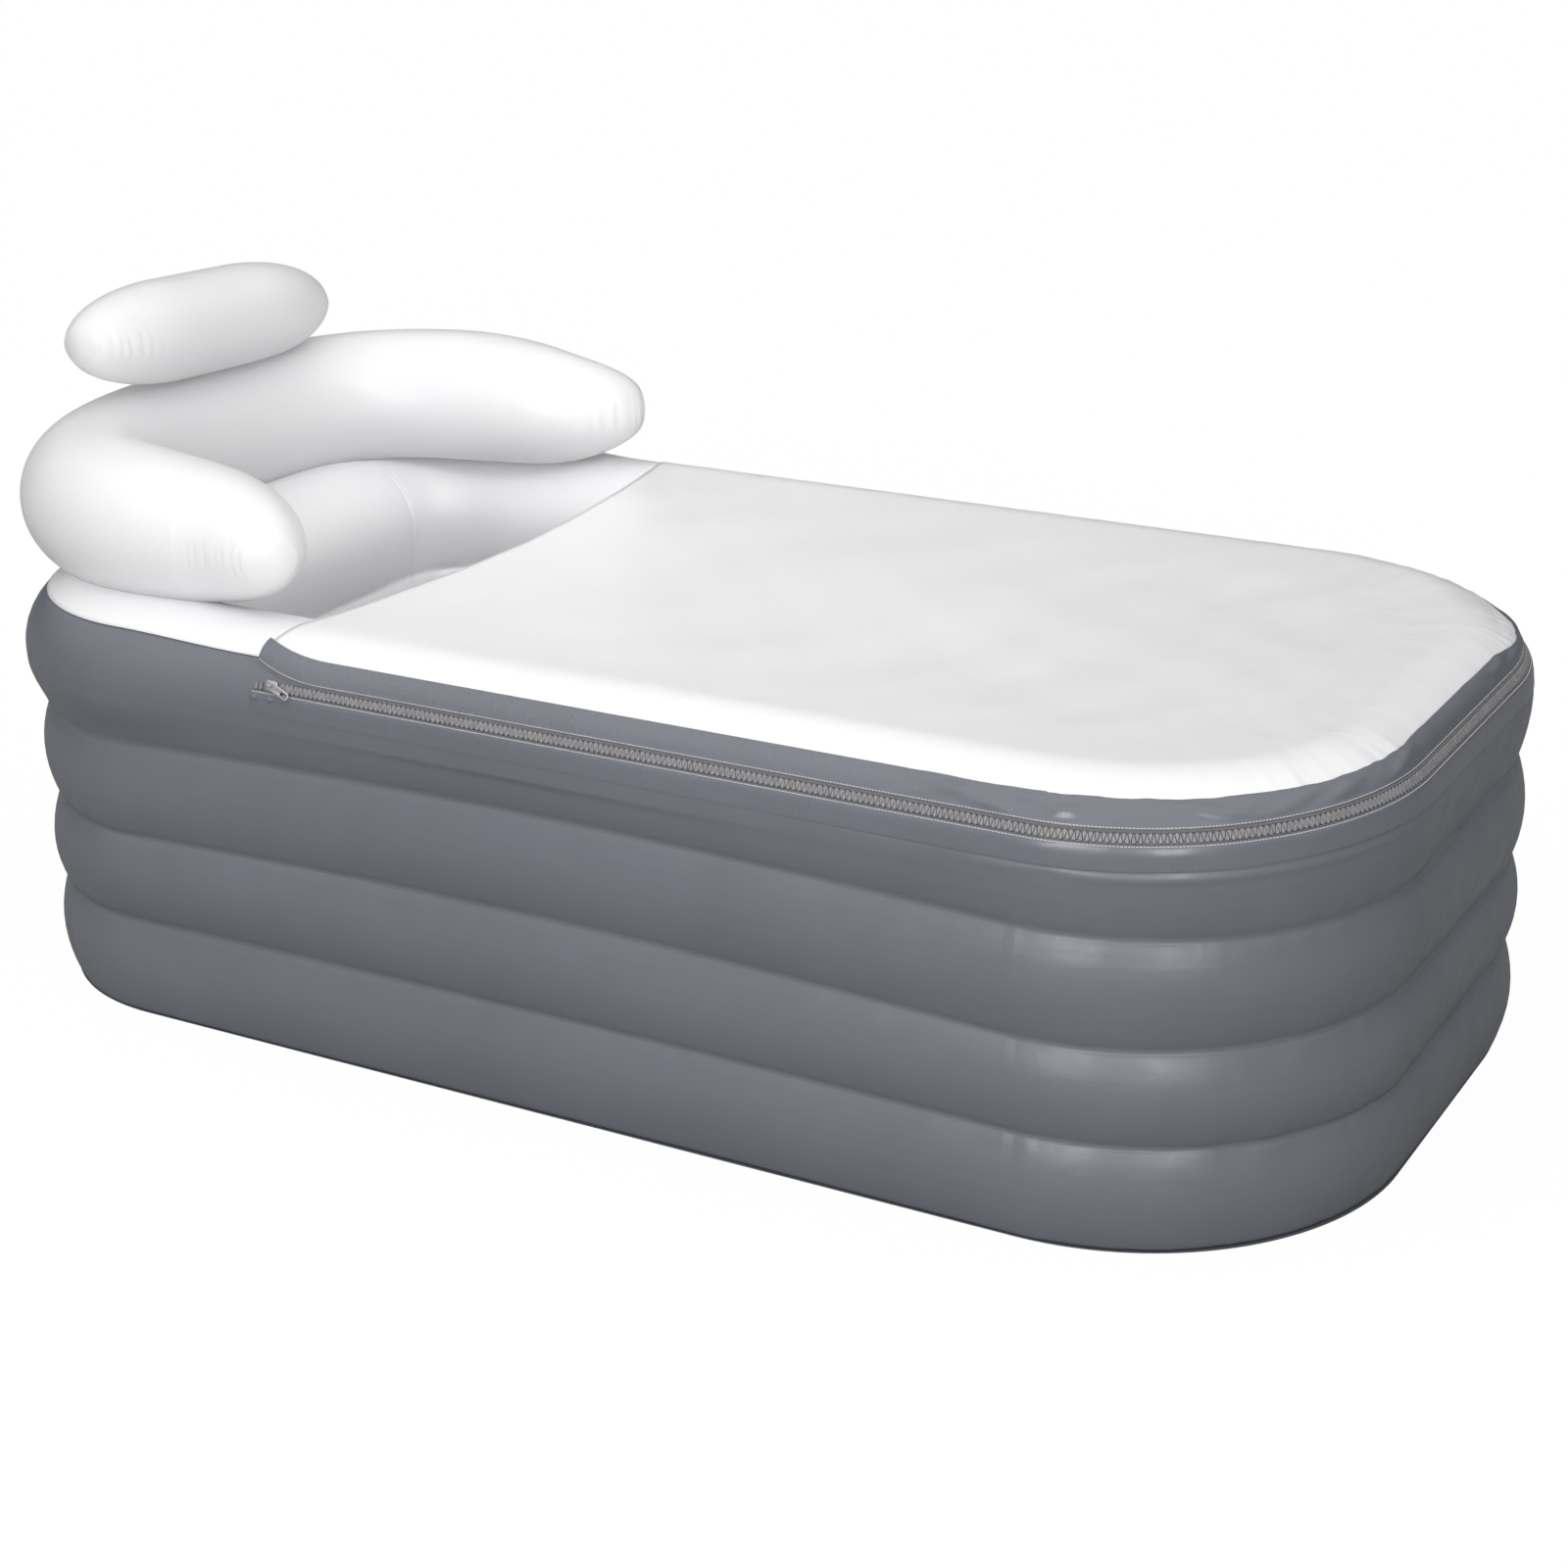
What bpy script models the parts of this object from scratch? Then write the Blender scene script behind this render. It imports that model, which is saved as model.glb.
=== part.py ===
"""Inflatable bathtub with a zip-on cover, a horseshoe headrest and a head pillow.

The tub stands on the plane Z = 0 with the middle of its plan at the origin. Its length runs
along X, with the head end at -X and the foot end at +X, and the near side is -Y. All sizes are
in metres. Every wall is a sheet of soft PVC: an inset is a distance inwards from the widest
outline of the tub, and a lift is a distance outwards from the face of the top ring.
"""

import math

import bmesh
import bpy
from mathutils import Matrix, Vector

# Sizes of the tub's walls
LENGTH = 1.600
WIDTH = 0.880
FOOT_RADIUS = 0.296
HEAD_RADIUS = 0.236
WALL_WIDTH = 0.170
RING_1_HEIGHT = 0.107
RING_2_HEIGHT = 0.102
RING_3_HEIGHT = 0.109
TOP_RING_LOWER = 0.072
TOP_RING_UPPER = 0.076
CREASE_DEPTH = 0.012
SHEET = 0.0005
BASE_SHEET = 0.0008
CLEARANCE = 0.0003
WEB_CLEARANCE = 0.0005
PASSAGE_RADIUS = 0.012

# Sizes of the zip, measured up the wall from the widest level of the top ring
ZIP_HEIGHT = 0.0335
TEETH_WIDTH = 0.0096
TEETH_DEPTH = 0.0024
TAPE_WIDTH = 0.0100
TAPE = 0.0006
TAPE_SHOWING = 0.0042
BAND_HEIGHT = 0.022
TAPE_TAIL = 0.012
TAIL_RISE = 0.0024
LAP_MARGIN = 0.0010
SLIDER_SETBACK = 0.014
SLIDER_LENGTH = 0.016
SLIDER_PLATE = 0.0012
SLIDER_LIP = 0.0011
LIP_REACH = 0.0009
BRIDGE_LENGTH = 0.0068
BRIDGE_WIDTH = 0.0020
BRIDGE_POST = 0.0012
BRIDGE_WINDOW = 0.0024
BRIDGE_BAR = 0.0010
PULL_LENGTH = 0.028
PULL_WIDTH = 0.0095
PULL_THICKNESS = 0.0009
PULL_PIN = 0.0016
PULL_EYE = 0.0036
PULL_EYE_HALF_WIDTH = 0.0025
PULL_ARM = 0.0022
PULL_SLOT_LENGTH = 0.009
PULL_SLOT_WIDTH = 0.0040
PULL_SLOT_MARGIN = 0.0026
PULL_DROOP = math.radians(20)
BOX_LENGTH = 0.0095
BOX_WIDTH = 0.0045
BOX_DEPTH = 0.0030
PIN_WIDTH = 0.0028
PIN_DEPTH = 0.0016

# Sizes of the cover
NECK_OPENING = 0.444
NECK_CURVE = 0.036
COVER_LIFT = 0.0005
COVER_SAG = 0.004
SKIRT_HEIGHT = 0.026

# Sizes of the floor cushion
FLOOR_GAP = 0.015
FLOOR_HEIGHT = 0.045
FLOOR_EDGE = 0.022
FLOOR_CHANNELS = 4
CHANNEL_DEPTH_SHARE = 0.42
FLOOR_EDGE_SHARES = (0.0, 0.12, 0.45, 1.0)

# Sizes of the horseshoe headrest
HEADREST_RADIUS = 0.0842
HEADREST_SINK = 0.0150
HEADREST_TAPER = 0.256
HEADREST_TIP_RADIUS = 0.010
HEADREST_ARM_START = 0.416
HEADREST_BEND_START = 0.300
HEADREST_BACK = 0.010
HEADREST_HALF_WIDTH = 0.318
HEADREST_SPLAY = 0.052
HEADREST_ROUNDNESS = 2.85
BEND_LENGTH_SHARE = 1.5

# Sizes of the pillow
PILLOW_BACK = 0.034
PILLOW_LENGTH = 0.427
PILLOW_HEIGHT = 0.120
PILLOW_DEPTH = 0.130
PILLOW_TAPER = 0.150
PILLOW_TIP_RADIUS = 0.008
PILLOW_RISE = 0.0598
PILLOW_TILT = math.radians(3.2)

# Sizes of the air valves
FLANGE_RADIUS = 0.012
FLANGE_THICKNESS = 0.0012
NECK_RADIUS = 0.0070
NECK_DEPTH = 0.0110
VALVE_BORE_RADIUS = 0.0047
STOPPER_CLEARANCE = 0.0003
STOPPER_CAP_RADIUS = 0.0078
STOPPER_CAP_HEIGHT = 0.0024
STOPPER_DEPTH = 0.0090
WALL_VALVE_OFFSET = 0.100
FLOOR_VALVE_FROM_END = 0.120

# Sizes of the drain through the lowest ring
DRAIN_BORE_RADIUS = 0.0110
DRAIN_TUBE_WALL = 0.0020
DRAIN_FLANGE_RADIUS = 0.0190
DRAIN_FLANGE_THICKNESS = 0.0015
DRAIN_SEAT_GAP = 0.0003
DRAIN_STOPPER_DEPTH = 0.012
DRAIN_CAP_RADIUS = 0.0150
DRAIN_CAP_HEIGHT = 0.0030
DRAIN_GRIP_LENGTH = 0.0160
DRAIN_GRIP_HEIGHT = 0.0070
DRAIN_GRIP_THICKNESS = 0.0024
GRIP_BITE = 0.0008

# Numbers of steps in the curved shapes
FOOT_STEPS = 7
HEAD_STEPS = 6
RING_STEPS = 5
INNER_RING_STEPS = 4
SHOULDER_STEPS = 4
DOME_STEPS = 8
HAUNCH_STEPS = 3
SIDE_STEPS = 2
PANEL_SIDE_STEPS = 4
PANEL_RIM_STEPS = 4
PANEL_FIELD_STEPS = 3
TURN_STEPS = 20
TUBE_SIDES = 16
HEADREST_STEPS = 24
PILLOW_STEPS = 12
CHANNEL_STEPS = 4
ARC_STEPS = 60
PATH_SAMPLES = 240
CUT_OVERRUN = 0.004
MERGE = 0.00001
SMOOTH_ANGLE = math.radians(40)

# Finishes: colour, roughness and, for a metal, how metallic it is
GREY_PVC = ((0.140, 0.150, 0.172), 0.42)
WHITE_PVC = ((0.80, 0.81, 0.83), 0.38)
TAPE_CLOTH = ((0.26, 0.25, 0.25), 0.85)
TEETH_PLASTIC = ((0.42, 0.41, 0.41), 0.35)
VALVE_PVC = ((0.70, 0.72, 0.75), 0.35)
SLIDER_METAL = ((0.62, 0.61, 0.60), 0.28, 1.0)

# Places that follow from the sizes
HALF_LENGTH = LENGTH / 2
HALF_WIDTH = WIDTH / 2
HALF_WALL = WALL_WIDTH / 2
FOOT_X = HALF_LENGTH - FOOT_RADIUS
FOOT_Y = HALF_WIDTH - FOOT_RADIUS
HEAD_X = HALF_LENGTH - HEAD_RADIUS
HEAD_Y = HALF_WIDTH - HEAD_RADIUS
BASE_TOP = BASE_SHEET + CLEARANCE
LEVEL_1 = RING_1_HEIGHT
LEVEL_2 = LEVEL_1 + RING_2_HEIGHT
LEVEL_3 = LEVEL_2 + RING_3_HEIGHT
WIDEST = LEVEL_3 + TOP_RING_LOWER
CREST = WIDEST + TOP_RING_UPPER
HAUNCH_ANGLE = math.acos(1 - CREASE_DEPTH / HALF_WALL)
COVER_EDGE = -HALF_LENGTH + NECK_OPENING
SLIDER_X = COVER_EDGE + SLIDER_SETBACK
HALF_TEETH = TEETH_WIDTH / 2
HALF_GAP = CLEARANCE / 2
SEAM_HEIGHT = ZIP_HEIGHT + HALF_TEETH + TAPE_SHOWING + SKIRT_HEIGHT
TEETH_BACK = CLEARANCE
TEETH_FRONT = TEETH_BACK + TEETH_DEPTH
TAPE_BACK = TEETH_BACK + TEETH_DEPTH / 2 - TAPE / 2
TAPE_FRONT = TAPE_BACK + TAPE
LAP_BACK = TAPE_FRONT + CLEARANCE
PLATE_BACK = TEETH_FRONT + CLEARANCE
PLATE_FRONT = PLATE_BACK + SLIDER_PLATE


def make_collection(name, parent):
    """A new collection under another one."""
    collection = bpy.data.collections.new(name)
    parent.children.link(collection)
    return collection


def make_material(name, colour, roughness, metallic=0.0):
    """A plain Principled finish."""
    material = bpy.data.materials.new(name)
    material.use_nodes = True
    shader = material.node_tree.nodes["Principled BSDF"]
    shader.inputs["Base Color"].default_value = (*colour, 1.0)
    shader.inputs["Roughness"].default_value = roughness
    shader.inputs["Metallic"].default_value = metallic
    return material


for old in list(bpy.data.objects):
    bpy.data.objects.remove(old, do_unlink=True)
scene_root = bpy.context.scene.collection
TUB = make_collection("inflatable_bathtub", scene_root)
CUTTERS = make_collection("cutters", scene_root)


def finish_mesh(mesh, name, finish):
    """Names a mesh, gives it its own material and shades its curved faces smooth."""
    mesh.name = name
    mesh.materials.clear()
    mesh.materials.append(make_material(name, *finish))
    mesh.shade_smooth()
    mesh.set_sharp_from_angle(angle=SMOOTH_ANGLE)
    return mesh


def place(mesh, name, finish, matrix=None, parent=None):
    """Adds a finished mesh to the tub as the named piece."""
    piece = bpy.data.objects.new(name, finish_mesh(mesh, name, finish))
    TUB.objects.link(piece)
    if parent is not None:
        piece.parent = parent
    if matrix is not None:
        piece.matrix_local = matrix
    return piece


def add_empty(name, matrix):
    """An empty that carries moving pieces."""
    empty = bpy.data.objects.new(name, None)
    TUB.objects.link(empty)
    empty.matrix_world = matrix
    return empty


def side_station(x, side):
    """A place on a straight side: its anchor, its outward direction and its radius."""
    return (Vector((x, 0.0)), Vector((0.0, side)), HALF_WIDTH)


def corner_stations(centre, radius, start, steps):
    """The places round a quarter corner, from the start angle in degrees."""
    stations = []
    for step in range(steps + 1):
        angle = math.radians(start + 90 * step / steps)
        stations.append((centre, Vector((math.cos(angle), math.sin(angle))), radius))
    return stations


def foot_stations():
    """Both corners of the foot end, from the near side to the far side."""
    near = corner_stations(Vector((FOOT_X, -FOOT_Y)), FOOT_RADIUS, -90, FOOT_STEPS)
    far = corner_stations(Vector((FOOT_X, FOOT_Y)), FOOT_RADIUS, 0, FOOT_STEPS)
    return near + far


def between(start, end, steps):
    """The values strictly between two ends, in equal steps."""
    return [start + (end - start) * step / steps for step in range(1, steps)]


def closed_plan():
    """The places round the whole tub, counter-clockwise from the near side's head end."""
    near = [side_station(x, -1.0) for x in between(-HEAD_X, FOOT_X, SIDE_STEPS)]
    far = [side_station(x, 1.0) for x in between(FOOT_X, -HEAD_X, SIDE_STEPS)]
    head = corner_stations(Vector((-HEAD_X, HEAD_Y)), HEAD_RADIUS, 90, HEAD_STEPS)
    head += corner_stations(Vector((-HEAD_X, -HEAD_Y)), HEAD_RADIUS, 180, HEAD_STEPS)
    return near + foot_stations() + far + head


def open_plan(near_start, far_end, steps=1):
    """The places round the foot end, from one straight side to the other."""
    near = [near_start] + between(near_start, FOOT_X, steps)
    far = between(FOOT_X, far_end, steps) + [far_end]
    stations = [side_station(x, -1.0) for x in near]
    stations += foot_stations()
    return stations + [side_station(x, 1.0) for x in far]


def at(station, inset, z):
    """The point of a station at an inset and a height."""
    anchor, out, radius = station
    spot = anchor + out * (radius - inset)
    return Vector((spot.x, spot.y, z))


def loft(rows, wrap_stations=False, wrap_rows=False):
    """Skins rows of points whose insets and corner radii all differ."""
    form = bmesh.new()
    grid = [[form.verts.new(point) for point in row] for row in rows]
    row_pairs = list(zip(grid, grid[1:]))
    if wrap_rows:
        row_pairs.append((grid[-1], grid[0]))
    for low, high in row_pairs:
        columns = list(range(len(low) - 1))
        if wrap_stations:
            columns.append(-1)
        for column in columns:
            form.faces.new((low[column], low[column + 1], high[column + 1], high[column]))
    if wrap_rows and not wrap_stations:
        form.faces.new([row[0] for row in grid])
        form.faces.new([row[-1] for row in reversed(grid)])
    bmesh.ops.remove_doubles(form, verts=form.verts, dist=MERGE)
    mesh = bpy.data.meshes.new("loft")
    form.to_mesh(mesh)
    form.free()
    return mesh


def thicken(piece, thickness, offset):
    """Gives a sheet its thickness: offset -1 goes inwards from its face and 1 outwards."""
    wall = piece.modifiers.new("thickness", "SOLIDIFY")
    wall.thickness = thickness
    wall.offset = offset
    wall.use_even_offset = True
    wall.use_quality_normals = True


def cut(piece, cutter, operation="DIFFERENCE"):
    """Cuts or joins a piece with another closed mesh."""
    boolean = piece.modifiers.new(cutter.name, "BOOLEAN")
    boolean.operation = operation
    boolean.object = cutter
    boolean.solver = "EXACT"


def cutter_object(mesh, name, matrix):
    """A hidden cutter shown as a wire."""
    cutter = bpy.data.objects.new(name, mesh)
    CUTTERS.objects.link(cutter)
    cutter.matrix_world = matrix
    cutter.hide_render = True
    cutter.display_type = "WIRE"
    return cutter


def cylinder_cutter(name, radius, depth, matrix):
    """A round cutter along its own Z, centred on the matrix."""
    form = bmesh.new()
    bmesh.ops.create_cone(
        form, cap_ends=True, segments=TURN_STEPS, radius1=radius, radius2=radius, depth=depth
    )
    mesh = bpy.data.meshes.new(name)
    form.to_mesh(mesh)
    form.free()
    return cutter_object(mesh, name, matrix)


def frame(origin, along, up, out):
    """A placement whose local X, Y and Z run along, up and out."""
    turn = Matrix((along, up, out)).transposed().to_4x4()
    return Matrix.Translation(origin) @ turn


def facing(origin, direction):
    """A placement whose local Z runs along a direction."""
    return Matrix.Translation(origin) @ direction.to_track_quat("Z", "Y").to_matrix().to_4x4()


def shoulder_point(angle, lift):
    """A point of the top ring's section, at an angle up from its outer widest level."""
    across = math.cos(angle)
    rise = math.sin(angle)
    height = TOP_RING_UPPER if rise >= 0 else TOP_RING_LOWER / math.sin(HAUNCH_ANGLE)
    normal = Vector((across / HALF_WALL, rise / height)).normalized()
    inset = HALF_WALL * (1 - across) - lift * normal.x
    return inset, WIDEST + height * rise + lift * normal.y


def shoulder_angle(distance):
    """The angle at a distance measured up the top ring's face from its widest level."""
    angle = 0.0
    for _ in range(ARC_STEPS):
        pace = math.hypot(HALF_WALL * math.sin(angle), TOP_RING_UPPER * math.cos(angle))
        angle += distance / ARC_STEPS / pace
    return angle


def shoulder(distance, lift):
    """The inset and height at a distance up the top ring's face."""
    return shoulder_point(shoulder_angle(distance), lift)


def bulge(low, high, steps):
    """The inset and height of a ring's side, between two welds."""
    rows = []
    for step in range(steps + 1):
        share = step / steps
        rows.append((CREASE_DEPTH * (2 * share - 1) ** 2, low + (high - low) * share))
    return rows


def angles(start, end, steps):
    """Equal steps from one angle to another, with both ends."""
    return [start] + between(start, end, steps) + [end]


def lower_rings(steps):
    """The side of the three lower rings, from the base up."""
    rows = bulge(BASE_TOP, LEVEL_1, steps)
    rows += bulge(LEVEL_1, LEVEL_2, steps)[1:]
    return rows + bulge(LEVEL_2, LEVEL_3, steps)[1:]


def make_base():
    """The flat sheet that the tub stands on."""
    outline = [at(station, CREASE_DEPTH, 0.0) for station in closed_plan()]
    mesh = extruded_outline(outline, BASE_SHEET)
    middle = Matrix.Translation((0.0, 0.0, BASE_SHEET / 2))
    place(mesh, "base_sheet", GREY_PVC, middle)


def extruded_outline(points, thickness, holes=()):
    """A flat outline, with any holes, filled on both faces and extruded evenly."""
    curve = bpy.data.curves.new("outline", "CURVE")
    curve.dimensions = "2D"
    curve.fill_mode = "BOTH"
    curve.extrude = thickness / 2
    for loop in (points, *holes):
        spline = curve.splines.new("POLY")
        spline.points.add(len(loop) - 1)
        for slot, point in zip(spline.points, loop):
            slot.co = (point[0], point[1], 0.0, 1.0)
        spline.use_cyclic_u = True
    holder = bpy.data.objects.new("outline", curve)
    scene_root.objects.link(holder)
    bpy.context.view_layer.update()
    graph = bpy.context.evaluated_depsgraph_get()
    mesh = bpy.data.meshes.new_from_object(holder.evaluated_get(graph))
    bpy.data.objects.remove(holder)
    bpy.data.curves.remove(curve)
    form = bmesh.new()
    form.from_mesh(mesh)
    bmesh.ops.remove_doubles(form, verts=form.verts, dist=MERGE)
    form.to_mesh(mesh)
    form.free()
    return mesh


def make_outer_wall():
    """The grey outer sheet, from the base up to its seam with the white sheet."""
    profile = lower_rings(RING_STEPS)
    haunch = angles(-HAUNCH_ANGLE, 0.0, HAUNCH_STEPS)
    seam = shoulder_angle(SEAM_HEIGHT - HALF_GAP)
    profile += [shoulder_point(angle, 0.0) for angle in haunch[1:]]
    profile += [shoulder_point(angle, 0.0) for angle in angles(0.0, seam, SHOULDER_STEPS)[1:]]
    rows = [[at(station, *spot) for station in closed_plan()] for spot in profile]
    wall = place(loft(rows, wrap_stations=True), "outer_wall", GREY_PVC)
    thicken(wall, SHEET, -1)
    return wall


def mirrored(spot):
    """The same point of the section, on the bath side of the wall."""
    return WALL_WIDTH - spot[0], spot[1]


def make_crest():
    """The white top sheet, from its seam over the crest to the bath side's highest weld."""
    seam = shoulder_angle(SEAM_HEIGHT + HALF_GAP)
    profile = [shoulder_point(angle, 0.0) for angle in angles(seam, math.pi, DOME_STEPS)]
    haunch = angles(0.0, -HAUNCH_ANGLE, HAUNCH_STEPS)
    profile += [mirrored(shoulder_point(angle, 0.0)) for angle in haunch[1:]]
    rows = [[at(station, *spot) for station in closed_plan()] for spot in profile]
    crest = place(loft(rows, wrap_stations=True), "crest_sheet", WHITE_PVC)
    thicken(crest, SHEET, -1)


def make_inner_wall():
    """The white bath side of the three lower rings, welded to the top sheet."""
    profile = [mirrored(spot) for spot in reversed(lower_rings(INNER_RING_STEPS))]
    weld_inset, weld_level = profile[0]
    profile[0] = (weld_inset, weld_level - CLEARANCE)
    rows = [[at(station, *spot) for station in closed_plan()] for spot in profile]
    wall = place(loft(rows, wrap_stations=True), "inner_wall", WHITE_PVC)
    thicken(wall, SHEET, -1)
    return wall


def make_web(name, level):
    """A flat sheet welded between the two walls at a crease, with four air passages."""
    outer = CREASE_DEPTH + SHEET + WEB_CLEARANCE
    inner = WALL_WIDTH - outer
    low = level - SHEET / 2
    high = level + SHEET / 2
    section = [(outer, low), (outer, high), (inner, high), (inner, low)]
    rows = [[at(station, *spot) for station in closed_plan()] for spot in section]
    web = place(loft(rows, wrap_stations=True, wrap_rows=True), name, GREY_PVC)
    middle = HALF_LENGTH - HALF_WALL
    side = HALF_WIDTH - HALF_WALL
    for number, (x, y) in enumerate(((middle, 0.0), (-middle, 0.0), (0.0, side), (0.0, -side))):
        spot = Matrix.Translation((x, y, level))
        cut(web, cylinder_cutter(f"{name}_passage_{number}", PASSAGE_RADIUS, CUT_OVERRUN, spot))


def zip_rows(stations, section, tail_rises=()):
    """Rows of a strip along the zip, from its section's distances and lifts.

    A tail rise moves a station's points up the wall, counted from the near end.
    """
    rises = list(tail_rises) + [0.0] * (len(stations) - len(tail_rises))
    rows = []
    for distance, lift in section:
        spots = [shoulder(distance + rise, lift) for rise in rises]
        rows.append([at(station, *spot) for station, spot in zip(stations, spots)])
    return rows


def make_strip(name, finish, stations, section, tail_rises=()):
    """A solid strip round the foot end, from the corners of its section."""
    rows = zip_rows(stations, section, tail_rises)
    place(loft(rows, wrap_rows=True), name, finish)


def strip_section(low, high, back, front):
    """The four corners of a strip, from distances up the wall and lifts off it."""
    return [(low, front), (high, front), (high, back), (low, back)]


def make_zip():
    """The tapes, the teeth and the welded band of the closed zip."""
    tail_x = COVER_EDGE - TAPE_TAIL
    slider_face = SLIDER_X + SLIDER_LENGTH / 2
    upper_start = slider_face + CLEARANCE
    far_teeth = COVER_EDGE + BOX_LENGTH + CLEARANCE
    lower_plan = open_plan(tail_x, tail_x)
    teeth_low = ZIP_HEIGHT - HALF_TEETH
    teeth_high = ZIP_HEIGHT + HALF_TEETH
    tape_foot = teeth_low - CLEARANCE - TAPE_WIDTH
    lower_tape = strip_section(tape_foot, teeth_low - CLEARANCE, TAPE_BACK, TAPE_FRONT)
    make_strip("zip_tape_lower", TAPE_CLOTH, lower_plan, lower_tape)
    lower_teeth = strip_section(teeth_low, ZIP_HEIGHT - HALF_GAP, TEETH_BACK, TEETH_FRONT)
    make_strip("zip_teeth_lower", TEETH_PLASTIC, open_plan(tail_x, far_teeth), lower_teeth)
    upper_teeth = strip_section(ZIP_HEIGHT + HALF_GAP, teeth_high, TEETH_BACK, TEETH_FRONT)
    make_strip("zip_teeth_upper", TEETH_PLASTIC, open_plan(upper_start, far_teeth), upper_teeth)
    tape_low = teeth_high + CLEARANCE
    upper_tape = strip_section(tape_low, tape_low + TAPE_WIDTH, TAPE_BACK, TAPE_FRONT)
    upper_plan = [side_station(COVER_EDGE, -1.0)] + open_plan(upper_start, COVER_EDGE)
    make_strip("zip_tape_upper", TAPE_CLOTH, upper_plan, upper_tape, (TAIL_RISE,))
    band_top = teeth_low - TAPE_SHOWING
    band_bend = tape_foot - LAP_MARGIN
    band_section = [
        (band_top - BAND_HEIGHT, CLEARANCE + SHEET),
        (band_bend, LAP_BACK + SHEET),
        (band_top, LAP_BACK + SHEET),
        (band_top, LAP_BACK),
        (band_bend, LAP_BACK),
        (band_top - BAND_HEIGHT, CLEARANCE),
    ]
    make_strip("zip_band", GREY_PVC, lower_plan, band_section)


def make_skirt():
    """The grey edge of the cover, from its seam down over the upper tape."""
    low = ZIP_HEIGHT + HALF_TEETH + TAPE_SHOWING
    high = SEAM_HEIGHT - HALF_GAP
    tape_top = ZIP_HEIGHT + HALF_TEETH + CLEARANCE + TAPE_WIDTH + TAIL_RISE + LAP_MARGIN
    section = [
        (low, LAP_BACK + SHEET),
        (tape_top, LAP_BACK + SHEET),
        (high, COVER_LIFT + SHEET),
        (high, COVER_LIFT),
        (tape_top, LAP_BACK),
        (low, LAP_BACK),
    ]
    make_strip("cover_skirt", GREY_PVC, open_plan(COVER_EDGE, COVER_EDGE), section)


def panel_point(station, inset, z, share):
    """A point of the cover, between the rim at share 0 and the middle line at share 1."""
    spot = at(station, inset, z)
    spine_x = station[0].x
    spot.x += (spine_x - spot.x) * share
    spot.y *= 1 - share
    if abs(station[1].y) < 1 or station[0].x >= FOOT_X:
        return spot
    rim_y = HALF_WIDTH - shoulder(SEAM_HEIGHT, 0.0)[0]
    edge_x = COVER_EDGE + NECK_CURVE * (1 - (spot.y / rim_y) ** 2)
    along = (station[0].x - COVER_EDGE) / (FOOT_X - COVER_EDGE)
    spot.x = edge_x + (FOOT_X - edge_x) * along
    return spot


def make_panel():
    """The white top of the cover, over the crest and flat across the bath."""
    stations = open_plan(COVER_EDGE, COVER_EDGE, PANEL_SIDE_STEPS)
    seam = shoulder_angle(SEAM_HEIGHT + HALF_GAP)
    rows = []
    for angle in angles(seam, math.pi / 2, PANEL_RIM_STEPS):
        inset, z = shoulder_point(angle, COVER_LIFT)
        rows.append([panel_point(station, inset, z, 0.0) for station in stations])
    for step in range(1, PANEL_FIELD_STEPS + 1):
        share = step / PANEL_FIELD_STEPS
        z = CREST + COVER_LIFT - COVER_SAG * (1 - (1 - share) ** 2)
        rows.append([panel_point(station, HALF_WALL, z, share) for station in stations])
    panel = place(loft(rows), "cover_panel", WHITE_PVC)
    thicken(panel, SHEET, 1)


def rounded(share):
    """A quarter-round rise from 0 to 1."""
    return math.sqrt(max(0.0, 1 - (1 - min(share, 1.0)) ** 2))


def make_floor():
    """The inflated floor: lengthwise channels between welds, with rounded edges."""
    inset = WALL_WIDTH + FLOOR_GAP
    half_length = HALF_LENGTH - inset
    half_width = HALF_WIDTH - inset
    low = BASE_TOP
    middle = low + FLOOR_HEIGHT / 2
    edge = FLOOR_EDGE
    xs = [half_length - edge * share for share in FLOOR_EDGE_SHARES]
    foot_corner = FOOT_RADIUS - inset
    head_corner = HEAD_RADIUS - inset
    xs += [half_length - foot_corner, -half_length + head_corner]
    xs += [-half_length + edge * share for share in FLOOR_EDGE_SHARES]
    xs = sorted(set(xs))
    across = FLOOR_CHANNELS * CHANNEL_STEPS

    def half_span(x):
        corner = foot_corner if x > 0 else head_corner
        beyond = abs(x) - (half_length - corner)
        if beyond <= 0:
            return half_width
        return half_width - corner + math.sqrt(max(0.0, corner**2 - beyond**2))

    upper_rows = []
    lower_rows = []
    for x in xs:
        span = half_span(x)
        end = rounded((half_length - abs(x)) / edge)
        upper = []
        lower = []
        for column in range(across + 1):
            share = 2 * column / across - 1
            y = span * share
            swell = end * rounded((span - abs(y)) / edge)
            ridge = abs(math.sin(math.pi * FLOOR_CHANNELS * (share + 1) / 2))
            weld = 1 - CHANNEL_DEPTH_SHARE * (1 - ridge)
            upper.append(Vector((x, y, middle + FLOOR_HEIGHT / 2 * swell * weld)))
            lower.append(Vector((x, y, middle - FLOOR_HEIGHT / 2 * swell)))
        upper_rows.append(upper)
        lower_rows.append(lower)
    form = bmesh.new()
    form.from_mesh(loft(upper_rows))
    form.from_mesh(loft(lower_rows))
    bmesh.ops.remove_doubles(form, verts=form.verts, dist=MERGE)
    bmesh.ops.recalc_face_normals(form, faces=form.faces)
    mesh = bpy.data.meshes.new("floor")
    form.to_mesh(mesh)
    form.free()
    floor = place(mesh, "floor_cushion", WHITE_PVC)
    thicken(floor, SHEET, -1)
    channel = 2 * half_width / FLOOR_CHANNELS
    top = Vector((-half_length + FLOOR_VALVE_FROM_END, channel / 2, low + FLOOR_HEIGHT))
    make_valve("floor_valve", floor, top, Vector((0.0, 0.0, 1.0)))


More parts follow.
